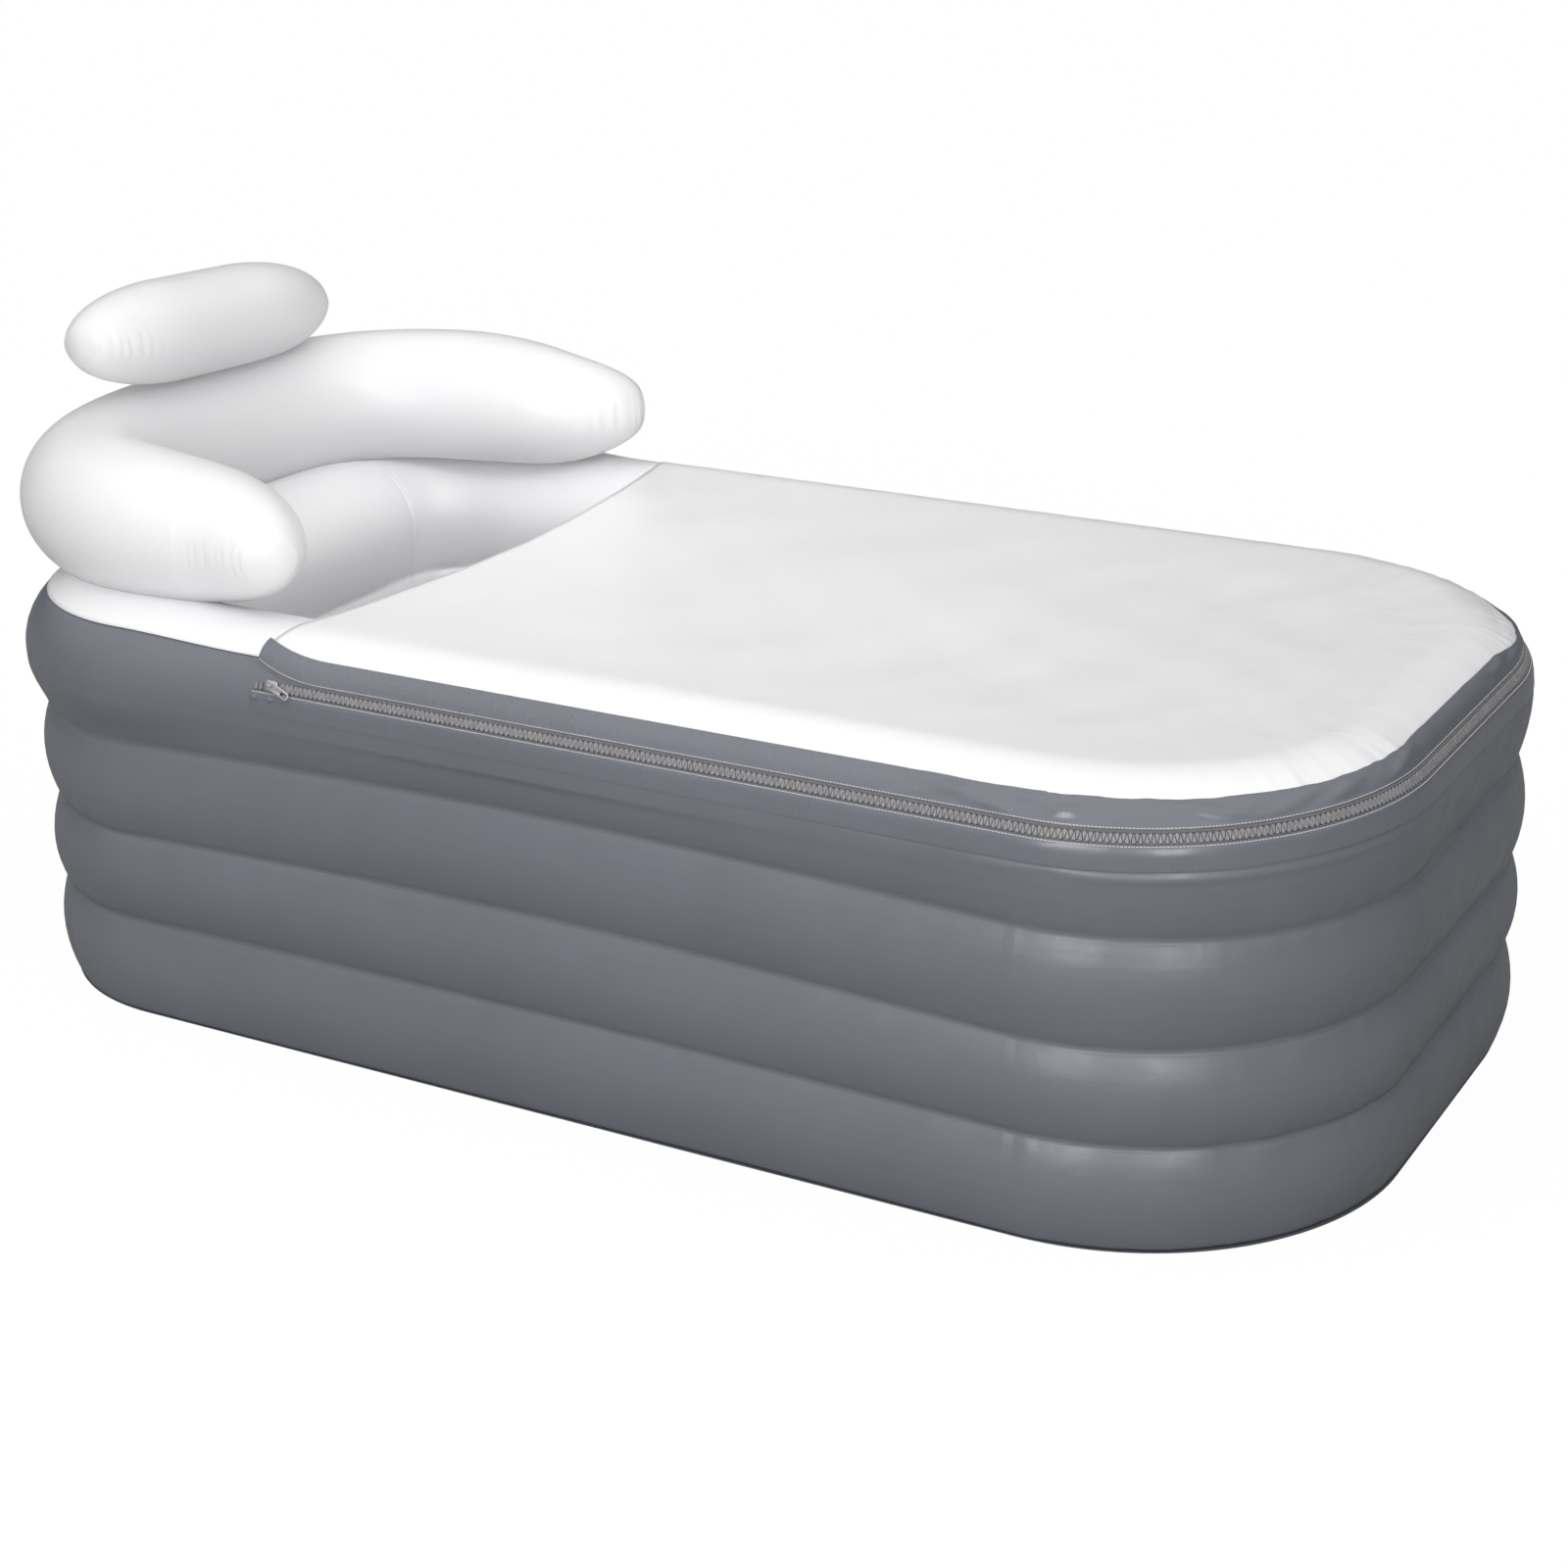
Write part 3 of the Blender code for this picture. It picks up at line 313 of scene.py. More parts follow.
def pvc_material(name, colour, roughness, clouding=0.05, ripple=0.0005, drawn=False, milky=0.0):
    """Calendered PVC sheet: a satin skin, slightly clouded, with a fine grain and faint ripples."""
    material, shader = start_material(name, colour, roughness)
    shader.inputs["Specular IOR Level"].default_value = 0.6
    shader.inputs["Subsurface Weight"].default_value = milky
    shader.inputs["Subsurface Radius"].default_value = (0.15, 0.15, 0.145)
    shader.inputs["Subsurface Scale"].default_value = 1.0
    place = object_place(material)
    cloud = noise(material, place, 5.0, 4.0, 0.6)
    shade = between(material, cloud, 0.3, 0.7, 0.0, 1.0)
    dye(material, shader, shade, colour, 1 - clouding, 1 + clouding)
    polish = noise(material, place, 38.0, 3.0)
    sheen = between(material, polish, 0.25, 0.75, roughness - 0.05, roughness + 0.07)
    link(material, sheen, shader.inputs["Roughness"])
    soft = bump(material, noise(material, place, 26.0, 2.0, 0.8), ripple)
    if drawn:
        soft = sheet_streaks(material, soft)
    grain = bump(material, noise(material, place, 900.0, 1.0), 0.00003, 1.0, soft)
    link(material, grain, shader.inputs["Normal"])
    return material


grey_pvc = pvc_material("slate grey PVC", grey_colour, 0.27)

base_runs = spaced_runs(0.0, girth, 0.030, 0.012)[:-1]
base_insets = np.array(
    [flange_inset, flange_inset, weld_line_inset - 0.001, weld_line_inset, weld_line_inset + 0.001, 0.10]
)
base_levels = np.array([base_thickness, 0.0, 0.0, weld_line_depth, 0.0, 0.0])
base_rows = tub_point(base_runs[None, :], base_insets[:, None], base_levels[:, None])
base_mesh = outward_faces(grid_mesh("base_skin", base_rows, wrap_columns=True, capped=True))
base_skin = add_piece(base_mesh, "tub", grey_pvc, ["base_sheet"], sharp=base_edge)

# Outer wall
# The grey skin of the four stacked air rings, cut from 0.5 mm PVC sheet.
# Welds at three levels tie it to the webs inside, and the air makes it bulge between them.

wall_width = 0.170
sheet = 0.0005
crease_depth = 0.0125
ring_levels = (0.0011, 0.107, 0.209, 0.318)
widest_level = 0.390
crest_level = 0.466
haunch_height = widest_level - ring_levels[-1]
dome_height = crest_level - widest_level
half_wall = wall_width / 2
bulge_power = 2.0
groove_depth = 0.0010
groove_width = 0.0016
crease_rises = ((0.0, 0.0, 0.0), (0.0065, 0.0045, 0.0040), (0.0065, 0.0010, 0.0120), (0.0050, 0.0045, 0.0125))
seam_distance = 0.0685
lap_run = near_run(0.498)
lap_width = 0.011
zip_climb = 0.0065
head_fatness = 0.0080
band_low = 0.0036
roll_drop = 0.0085
roll_height = 0.0013
roll_width = 0.0040
dent_drop = 0.0016
dent_depth = 0.0010
dent_width = 0.0018
roll_fade = 0.25
roll_lead = 0.30
haunch_depth = 0.012
weld_crowding = 0.65
sway_depth = 0.0010
outer_lift_limit = 0.0018
lap_height = 0.00013

haunch = math.acos(1 - haunch_depth / half_wall)
face_angles = np.linspace(-haunch, math.pi + haunch, 1500)
face_rise = np.where(np.sin(face_angles) >= 0, dome_height, haunch_height / math.sin(haunch))
face_inset = half_wall * (1 - np.cos(face_angles))
face_level = widest_level + face_rise * np.sin(face_angles)
face_steps = np.hypot(np.diff(face_inset), np.diff(face_level))
face_distance = np.concatenate([[0.0], np.cumsum(face_steps)])
face_distance -= np.interp(0.0, face_angles, face_distance)
face_normal = np.stack([np.cos(face_angles) / half_wall, np.sin(face_angles) / face_rise])
face_normal /= np.linalg.norm(face_normal, axis=0)


def ring_face(distance, lift=0.0):
    """The inset and height at a distance up the top ring's face, from its widest level."""
    inset = np.interp(distance, face_distance, face_inset)
    level = np.interp(distance, face_distance, face_level)
    out = np.interp(distance, face_distance, face_normal[0])
    rise = np.interp(distance, face_distance, face_normal[1])
    return inset - lift * out, level + lift * rise


def smooth_share(share):
    """A share held between 0 and 1, and eased at both ends."""
    share = np.clip(share, 0, 1)
    return share * share * (3 - 2 * share)


def head_share(run, ease=0.17):
    """1 round the head end and its corners, eased to 0 along the sides."""
    run = np.mod(run, girth)
    beyond = np.maximum(leg_starts[far_head] - run, 0.0)
    return smooth_share(1 - np.minimum(beyond, run) / ease)


def zip_rise(run):
    """How far the zip climbs up the top ring round the foot end."""
    knots = [leg_starts[near_foot], leg_ends[near_foot], leg_starts[far_foot], leg_ends[far_foot]]
    return zip_climb * smooth_share(np.interp(np.mod(run, girth), knots, [0, 1, 1, 0]))


def head_swell(run, level):
    """How much fatter the top ring is round the head end, where no cover holds it in."""
    return head_fatness * head_share(run) * smooth_share((level - ring_levels[3] - 0.012) / 0.05)


def crease_wave(run, ring):
    """How far a crease stands above its ring's level: the air lifts it along the sides."""
    head_rise, foot_rise, hump = crease_rises[ring]
    knots = [0, side_run, leg_starts[foot_end] + foot_y, leg_starts[far_side], leg_starts[far_head]]
    knots += [leg_starts[head_end] + head_y, girth]
    rises = [head_rise, foot_rise, 0.002, foot_rise, head_rise, head_rise, head_rise]
    wave = np.interp(np.mod(run, girth), knots, rises)
    leg = leg_of(run)
    along = (np.mod(run, girth) - leg_starts[leg]) / leg_lengths[leg]
    on_side = (leg == near_side) | (leg == far_side)
    return wave + hump * np.where(on_side, np.sin(np.pi * along), 0.0)


def uneven(run, spacing, seed):
    """A smooth random value from -1 to 1 along the tub, at a spacing."""
    count = max(4, round(girth / spacing))
    knots = np.random.default_rng(seed).uniform(-1, 1, count)
    spot = np.mod(run, girth) / girth * count
    low = np.floor(spot).astype(int)
    share = smooth_share(spot - low)
    return knots[low % count] * (1 - share) + knots[(low + 1) % count] * share


def corner_share(run, ease=0.10):
    """1 round the corners and 0 along the straights, eased between them."""
    run = np.mod(run, girth)
    share = np.zeros_like(run)
    for leg in (near_foot, far_foot, far_head, near_head):
        beyond = np.maximum(leg_starts[leg] - run, run - leg_ends[leg])
        if leg == near_head:
            beyond = np.minimum(beyond, run)
        share = np.maximum(share, 1 - beyond / ease)
    return smooth_share(share)


def weld_puckers(run, gap, seed, spacing=0.013, depth=0.0011, reach=0.016):
    """How far a skin moves in and out beside a weld, at a distance from it."""
    round_corner = corner_share(run)
    start = np.clip(gap / 0.004, 0, 1)
    fine = uneven(run, spacing, seed) * np.exp(-gap / reach) * round_corner
    length = reach * (2.2 + uneven(run, spacing * 3, seed + 1))
    broad = uneven(run, spacing * 2.6, seed + 2) * np.exp(-gap / length) * (0.35 + 0.65 * round_corner)
    return depth * start * (0.6 * fine + 0.7 * broad)


def spread_shares(count, crowding):
    """Shares from 0 to 1 that crowd together at both ends."""
    even = np.linspace(0, 1, count)
    return crowding * (1 - np.cos(np.pi * even)) / 2 + (1 - crowding) * even


def lower_rings(runs, steps):
    """The inset and height of the three lower rings, and the share up each of them."""
    insets, levels = [], []
    for ring in range(3):
        low = ring_levels[ring] + crease_wave(runs, ring)
        high = ring_levels[ring + 1] + crease_wave(runs, ring + 1)
        for share in spread_shares(steps + 1, weld_crowding)[0 if ring == 0 else 1 :]:
            level = low + (high - low) * share
            gap = np.minimum(level - low, high - level)
            bulge = crease_depth * abs(2 * share - 1) ** bulge_power
            insets.append(bulge + groove_depth * np.exp(-gap / groove_width))
            levels.append(level)
    return np.array(insets), np.array(levels)


def haunch_rows(runs, steps):
    """The lower half of the top ring's side, from the highest crease to the widest level."""
    insets, levels = [], []
    low = ring_levels[3] + crease_wave(runs, 3)
    for share in np.linspace(0, 1, steps + 1)[1:] ** 1.25:
        level = low + (widest_level - low) * share
        bulge = crease_depth * (1 - share) ** 2
        insets.append(bulge + groove_depth * np.exp(-(level - low) / groove_width))
        levels.append(level)
    return np.array(insets), np.array(levels)


def pucker_rows(runs, levels, seed, **sizes):
    """The puckers beside all three creases, summed over rows of a wall."""
    total = np.zeros_like(levels)
    for ring in (1, 2, 3):
        gap = np.abs(levels - (ring_levels[ring] + crease_wave(runs, ring)))
        total += weld_puckers(runs[None, :], gap, seed + 10 * ring, **sizes)
    total += weld_puckers(runs[None, :], levels, seed, **sizes)
    return total


def mapped_sheet(mesh, runs, levels):
    """Gives a wall the flat map of its sheet, in metres, and each point's gap from a weld above."""
    columns = len(runs)
    layer = mesh.uv_layers.new(name="sheet")
    place = np.empty(len(mesh.loops), dtype=int)
    mesh.loops.foreach_get("vertex_index", place)
    flat = np.stack([runs[place % columns], levels.ravel()[place]], axis=-1)
    column = (place % columns).reshape(-1, 4)
    closing = (column.max(axis=1) == columns - 1) & (column.min(axis=1) == 0)
    flat[(closing[:, None] & (column == 0)).ravel(), 0] += girth
    layer.uv.foreach_set("vector", flat.astype(np.float32).ravel())
    gaps = np.full(levels.shape, 1.0)
    for ring in (1, 2, 3):
        below = ring_levels[ring] + crease_wave(runs, ring) - levels
        gaps = np.where((below >= 0) & (below < gaps), below, gaps)
    mesh.attributes.new("weld_gap", "FLOAT", "POINT").data.foreach_set("value", gaps.ravel())
    return mesh


def lap_ridge(runs, levels):
    """The upright lap where the two ends of the outer skin are welded together."""
    wander = 0.0015 * np.sin(levels * 47)
    across = np.abs(runs[None, :] - lap_run - wander) / (lap_width / 2)
    return lap_height * np.clip(3 - 2.6 * across, 0, 1)


grey_wall_pvc = pvc_material("slate grey wall PVC", grey_colour, 0.37, drawn=True)
wall_runs = spaced_runs(0.0, girth, 0.0090, 0.0048)[:-1]
extra_runs = lap_run + lap_width * np.array([-0.62, -0.5, -0.38, 0.38, 0.5, 0.62])
wall_runs = np.unique(np.concatenate([wall_runs, extra_runs]))
lower_insets, lower_levels = lower_rings(wall_runs, 13)
haunch_insets, haunch_levels = haunch_rows(wall_runs, 8)
weld_rows = [-0.016, -0.0125, -0.0095, -0.0070, -0.0045, -0.0020, -0.0004, 0.0010, 0.0026, 0.0042, 0.0070]
shoulder_rows = np.concatenate([weld_rows, np.linspace(0.012, seam_distance - 0.0002, 6)])
shoulder_inset, shoulder_level = ring_face(shoulder_rows)
ones = np.ones_like(wall_runs)
outer_insets = np.vstack([lower_insets, haunch_insets[:-2], shoulder_inset[:, None] * ones])
outer_levels = np.vstack([lower_levels, haunch_levels[:-2], shoulder_level[:, None] * ones])
outer_points = tub_point(wall_runs[None, :], outer_insets, outer_levels)
fade = np.clip((0.40 - outer_levels) / 0.05, 0, 1)
band_weld = widest_level + band_low + zip_rise(wall_runs)[None, :]
roll_share = (0.45 + 0.55 * corner_share(wall_runs))[None, :]
roll_level = band_weld - roll_drop + 0.0012 * uneven(wall_runs, 0.12, 8)[None, :]
roll_share = roll_share * np.clip(0.45 + 0.8 * uneven(wall_runs, 0.055, 9), 0, 1)[None, :]
roll = roll_height * roll_share * np.exp(-(((outer_levels - roll_level) / roll_width) ** 2))
roll -= dent_depth * np.exp(-(((outer_levels - band_weld + dent_drop) / dent_width) ** 2))
roll *= smooth_share((wall_runs - leg_starts[near_foot] + roll_lead) / roll_fade)[None, :]
roll *= smooth_share((far_run(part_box("zip_band")[0][0]) - wall_runs) / roll_fade)[None, :]
sway = sway_depth * uneven(wall_runs, 0.19, 5)[None, :] * np.sin(outer_levels * 31 + 1.0)
outer_lift = (pucker_rows(wall_runs, outer_levels, 100) + lap_ridge(wall_runs, outer_levels) + sway) * fade
outer_lift = np.minimum(outer_lift, outer_lift_limit) + roll + head_swell(wall_runs[None, :], outer_levels)
outer_points += outwards(outer_points, True) * outer_lift[..., None]
outer_points[..., 2] = np.maximum(outer_points[..., 2], ring_levels[0])
outer_mesh = mapped_sheet(grid_mesh("outer_skin", outer_points, wrap_columns=True), wall_runs, outer_levels)
outer_skin = add_piece(outer_mesh, "tub", grey_wall_pvc, ["outer_wall"])
thicken(outer_skin, sheet)

# Inner wall
# The white skin goes from its lap weld with the grey one over the crest and down the bath side.
# It is tied to the same webs, and one upright weld joins its two ends in the far head corner.

white_colour = (0.872, 0.869, 0.882)
white_pvc = pvc_material("white PVC", white_colour, 0.36, 0.012, 0.0004)
lap_overhang = 0.0055
inner_join_run = leg_ends[far_head] - 0.02
join_height = 0.0004
join_half_width = 0.0016
join_dent = 0.0010
join_dent_gap = 0.0085
join_dent_width = 0.0032
lap_step = 0.0010
inner_lift_limit = 0.0015

inner_runs = spaced_runs(0.0, girth, 0.0115, 0.0075)[:-1]
inner_runs = np.union1d(inner_runs, inner_join_run + np.linspace(-0.012, 0.012, 17))
crest_end = np.interp(math.pi, face_angles, face_distance)
crest_distances = np.linspace(seam_distance - lap_overhang, crest_end, 30)
lap_lift = lap_step * np.clip((seam_distance + 0.002 - crest_distances) / 0.002, 0, 1)
crest_inset, crest_height = ring_face(crest_distances, lap_lift)
inner_ones = np.ones_like(inner_runs)
bath_haunch_insets, bath_haunch_levels = haunch_rows(inner_runs, 9)
bath_lower_insets, bath_lower_levels = lower_rings(inner_runs, 15)
inner_insets = np.vstack(
    [
        crest_inset[:, None] * inner_ones,
        wall_width - bath_haunch_insets[:-1][::-1],
        wall_width - bath_lower_insets[::-1],
    ]
)
inner_levels = np.vstack(
    [crest_height[:, None] * inner_ones, bath_haunch_levels[:-1][::-1], bath_lower_levels[::-1]]
)
inner_points = tub_point(inner_runs[None, :], inner_insets, inner_levels)
bath_fade = np.clip((inner_insets - 0.125) / 0.03, 0, 1)
inner_lift = pucker_rows(inner_runs, inner_levels, 300, depth=0.0016, reach=0.020) * bath_fade
join_gap = np.abs(inner_runs[None, :] - inner_join_run + 0 * inner_levels)
inner_lift += bath_fade * join_height * np.clip(3.2 - join_gap / join_half_width, 0, 1)
inner_lift -= bath_fade * join_dent * np.exp(-(((join_gap - join_dent_gap) / join_dent_width) ** 2))
on_crest = np.clip((0.125 - inner_insets) / 0.05, 0, 1)
inner_swell = head_swell(inner_runs[None, :], inner_levels) * on_crest
inner_lift = np.minimum(inner_lift, inner_lift_limit) + inner_swell
inner_points += outwards(inner_points, True) * inner_lift[..., None]
inner_points[..., 2] = np.maximum(inner_points[..., 2], ring_levels[0])
inner_mesh = grid_mesh("inner_skin", inner_points, wrap_columns=True)
inner_skin = add_piece(inner_mesh, "tub", white_pvc, ["inner_wall", "crest_sheet"])
thicken(inner_skin, sheet)

# Webs
# Three flat sheets between the two walls, welded along the creases, hold the rings apart.
# They are plain grey sheet with air passages, out of sight inside the rings.

for web in ("wall_web_1", "wall_web_2", "wall_web_3"):
    web_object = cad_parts[web]
    web_object.data.materials.clear()
    web_object.data.materials.append(grey_pvc)

# Floor cushion
# The bath's floor is an air mattress of white PVC with lengthwise channels.
# Its two sheets are welded together along the lines between the channels and round the rim.

floor_low, floor_high = (Vector(corner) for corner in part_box("floor_cushion"))
floor_flange = 0.007
floor_half = (floor_high.x + floor_flange, floor_high.y + floor_flange)
corner_inset = 0.015
floor_ends_radii = ((1, foot_radius), (-1, head_radius))
floor_corners = {end: radius - wall_width - corner_inset for end, radius in floor_ends_radii}
floor_crimp_depth = 0.0012
floor_channels = 4
floor_edge = 0.022
floor_middle = (floor_low.z + floor_high.z) / 2
floor_rise = (floor_high.z - floor_low.z) / 2

floor_across = np.linspace(-1, 1, 97)
floor_ends = 1 - np.concatenate([[0.0, 0.0015, 0.005, 0.011, 0.020, 0.034, 0.055], np.linspace(0.08, 1, 40)])
floor_along = np.concatenate([floor_ends, -floor_ends[-2::-1]])
floor_x = (floor_along * floor_half[0])[:, None] * np.ones_like(floor_across)
corner = np.where(floor_x > 0, floor_corners[1], floor_corners[-1])
beyond = np.maximum(np.abs(floor_x) - (floor_half[0] - corner), 0.0)
floor_span = floor_half[1] - corner + np.sqrt(np.maximum(corner**2 - beyond**2, 0.0))
floor_y = floor_span * floor_across[None, :]
end_swell = np.clip((floor_half[0] - np.abs(floor_x)) / floor_edge, 0, 1)
side_swell = np.clip((floor_span - np.abs(floor_y)) / floor_edge, 0, 1)
floor_swell = np.sqrt(1 - (1 - end_swell) ** 2) * np.sqrt(1 - (1 - side_swell) ** 2)
channel_phase = math.pi * floor_channels * (floor_across[None, :] + 1) / 2
ridge = np.abs(np.sin(channel_phase)) ** 0.75
weld_share = 1 - 0.42 * (1 - ridge)
weld_gap = np.abs(np.arcsin(np.clip(np.sin(channel_phase), -1, 1))) * 0.04
floor_crimp = floor_crimp_depth * np.sin(floor_x * 330 + 2 * np.sin(floor_x * 41)) * np.exp(-weld_gap / 0.012)
floor_top = floor_middle + (floor_rise * weld_share - np.abs(floor_crimp)) * floor_swell
floor_bottom = floor_middle - floor_rise * floor_swell
floor_sheets = [np.stack([floor_x, floor_y, level], axis=-1) for level in (floor_top, floor_bottom)]
floor_form = bmesh.new()
for floor_sheet in floor_sheets:
    floor_form.from_mesh(grid_mesh("floor_sheet", floor_sheet))
floor_mesh = bpy.data.meshes.new("floor_mattress")
floor_form.to_mesh(floor_mesh)
floor_form.free()
floor_mattress = add_piece(outward_faces(floor_mesh), "tub", white_pvc, ["floor_cushion"])

# Drain
# A moulded sleeve runs through the lowest ring at the head end, with a flange on each wall.
# A push-in stopper with a finger grip closes each end of it.

valve_colour = (0.66, 0.69, 0.73)
turn_steps = 48
clearance = 0.0003
moulded_edge = 0.8


def valve_material(name, colour):
    """Moulded soft PVC: glossy, slightly milky, with faint flow marks."""
    material, shader = start_material(name, colour, 0.28)
    shader.inputs["Subsurface Weight"].default_value = 0.15
    shader.inputs["Subsurface Radius"].default_value = (0.004, 0.004, 0.004)
    place = object_place(material)
    flow = between(material, noise(material, place, 70.0, 3.0, 1.2), 0.3, 0.7, 0.0, 1.0)
    dye(material, shader, flow, colour, 0.94, 1.05)
    gloss = between(material, noise(material, place, 240.0, 2.0), 0.3, 0.7, 0.22, 0.36)
    link(material, gloss, shader.inputs["Roughness"])
    link(material, bump(material, noise(material, place, 320.0, 2.0), 0.00008), shader.inputs["Normal"])
    return material


valve_pvc = valve_material("moulded valve PVC", valve_colour)


def turned_mesh(name, profile, matrix, closed):
    """A mesh turned about a placement's Z from a profile of radii and heights."""
    ring = np.linspace(0, 2 * math.pi, turn_steps, endpoint=False)
    profile = np.array(profile)
    x = profile[:, :1] * np.cos(ring)
    y = profile[:, :1] * np.sin(ring)
    z = np.repeat(profile[:, 1:], turn_steps, axis=1)
    points = np.stack([x, y, z], axis=-1)
    mesh = grid_mesh(name, points, wrap_rows=closed, wrap_columns=True)
    mesh = outward_faces(mesh)
    mesh.transform(matrix)
    return mesh


def rounded_profile(corners, radius, closed, steps=3):
    """A profile whose corners are eased with a small radius."""
    points = []
    count = len(corners)
    for number, corner_point in enumerate(corners):
        here = Vector(corner_point)
        if not closed and number in (0, count - 1):
            points.append(tuple(here))
            continue
        before = Vector(corners[number - 1]) - here
        after = Vector(corners[(number + 1) % count]) - here
        cut = min(radius, before.length * 0.45, after.length * 0.45)
        start = here + before.normalized() * cut
        end = here + after.normalized() * cut
        for step in range(steps + 1):
            share = step / steps
            points.append(tuple(start.lerp(here, share).lerp(here.lerp(end, share), share)))
    return points


def facing(origin, direction):
    """A placement whose Z runs along a direction."""
    turn = Vector(direction).to_track_quat("Z", "Y").to_matrix().to_4x4()
    return Matrix.Translation(origin) @ turn


def joined(name, meshes):
    """Several meshes as one."""
    form = bmesh.new()
    for mesh in meshes:
        form.from_mesh(mesh)
    result = bpy.data.meshes.new(name)
    form.to_mesh(result)
    form.free()
    return result


def slab_mesh(name, outline, thickness, edge, matrix, holes=()):
    """A flat outline with holes, extruded evenly, with rounded edges."""
    curve = bpy.data.curves.new(name, "CURVE")
    curve.dimensions = "2D"
    curve.fill_mode = "BOTH"
    curve.extrude = thickness / 2 - edge
    curve.bevel_depth = edge
    curve.bevel_resolution = 1
    curve.offset = -edge
    for loop in (outline, *holes):
        spline = curve.splines.new("POLY")
        spline.points.add(len(loop) - 1)
        for slot, point in zip(spline.points, loop):
            slot.co = (point[0], point[1], 0.0, 1.0)
        spline.use_cyclic_u = True
    holder = bpy.data.objects.new(name, curve)
    bpy.context.scene.collection.objects.link(holder)
    bpy.context.view_layer.update()
    graph = bpy.context.evaluated_depsgraph_get()
    mesh = bpy.data.meshes.new_from_object(holder.evaluated_get(graph))
    bpy.data.objects.remove(holder)
    bpy.data.curves.remove(curve)
    mesh = outward_faces(mesh)
    mesh.transform(matrix)
    return mesh


def rounded_outline(low, high, radius, steps=5):
    """A rectangle with round corners."""
    points = []
    corners = ((high[0], high[1], 0), (low[0], high[1], 90), (low[0], low[1], 180), (high[0], low[1], 270))
    for x, y, start in corners:
        centre_x = x - math.copysign(radius, x - (low[0] + high[0]) / 2)
        centre_y = y - math.copysign(radius, y - (low[1] + high[1]) / 2)
        for step in range(steps + 1):
            angle = math.radians(start + 90 * step / steps)
            points.append((centre_x + radius * math.cos(angle), centre_y + radius * math.sin(angle)))
    return points


drain_bore = 0.0110
drain_tube = 0.0130
drain_flange = 0.0190
drain_flange_depth = 0.0015
drain_low, drain_high = (Vector(corner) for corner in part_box("drain_sleeve"))
drain_level = (drain_low.z + drain_high.z) / 2
drain_outer = Vector((drain_low.x + drain_flange_depth, 0.0, drain_level))
drain_inner = Vector((drain_high.x - drain_flange_depth, 0.0, drain_level))
drain_span = drain_inner.x - drain_outer.x

sleeve_corners = [
    (drain_bore, drain_span + drain_flange_depth),
    (drain_bore + 0.0025, drain_span + drain_flange_depth),
    (drain_bore + 0.0030, drain_span + drain_flange_depth * 0.7),
    (drain_flange, drain_span + drain_flange_depth * 0.6),
    (drain_flange, drain_span),
    (drain_tube, drain_span),
    (drain_tube, 0.0),
    (drain_flange, 0.0),
    (drain_flange, -drain_flange_depth * 0.6),
    (drain_bore + 0.0030, -drain_flange_depth * 0.7),
    (drain_bore + 0.0025, -drain_flange_depth),
    (drain_bore, -drain_flange_depth),
]
sleeve_profile = rounded_profile(sleeve_corners, 0.0004, True)
sleeve_mesh = turned_mesh("drain_tube", sleeve_profile, facing(drain_outer, (1, 0, 0)), True)
add_piece(sleeve_mesh, "tub", valve_pvc, ["drain_sleeve"], sharp=moulded_edge)


def drain_plug(name, node, body, stand):
    """A stopper with a ribbed shaft, a domed cap and a pinched finger grip."""
    shaft = drain_bore - clearance
    cap_low = drain_flange_depth + clearance
    corners = [
        (0.0, cap_low + 0.0030),
        (0.0120, cap_low + 0.0028),
        (0.0150, cap_low + 0.0018),
        (0.0150, cap_low),
        (shaft, cap_low),
        (shaft, -0.0020),
        (shaft - 0.0007, -0.0028),
        (shaft, -0.0036),
        (shaft, -0.0060),
        (shaft - 0.0007, -0.0068),
        (shaft, -0.0076),
        (shaft - 0.0012, -0.0120),
        (0.0, -0.0120),
    ]
    body_mesh = turned_mesh(name, rounded_profile(corners, 0.0005, False), stand, False)
    grip_place = Matrix.Translation((0, 0, cap_low + 0.0028 + 0.0031))
    grip_stand = stand @ grip_place @ Matrix.Rotation(quarter, 4, "X")
    grip_outline = rounded_outline((-0.0080, -0.0034), (0.0080, 0.0034), 0.0030)
    grip_mesh = slab_mesh(name, grip_outline, 0.0024, 0.0005, grip_stand)
    plug = joined(name, [body_mesh, grip_mesh])
    add_piece(plug, body, valve_pvc, [node], sharp=moulded_edge)


for side, end, place, out in (("inside", "inner", drain_inner, 1), ("outside", "outer", drain_outer, -1)):
    stand = facing(place, (out, 0, 0))
    drain_plug(f"drain_plug_{side}", f"drain_{end}_stopper", f"{end}_drain_stopper", stand)

# Air valves
# Each chamber has a moulded valve: a flanged seat welded into the sheet, with a neck inside,
# and a push-in stopper that hangs on a short strap from the rim of the flange.

neck_depth = 0.0110
valve_flange = 0.0120
flange_depth = 0.0012
valve_bore = 0.0047


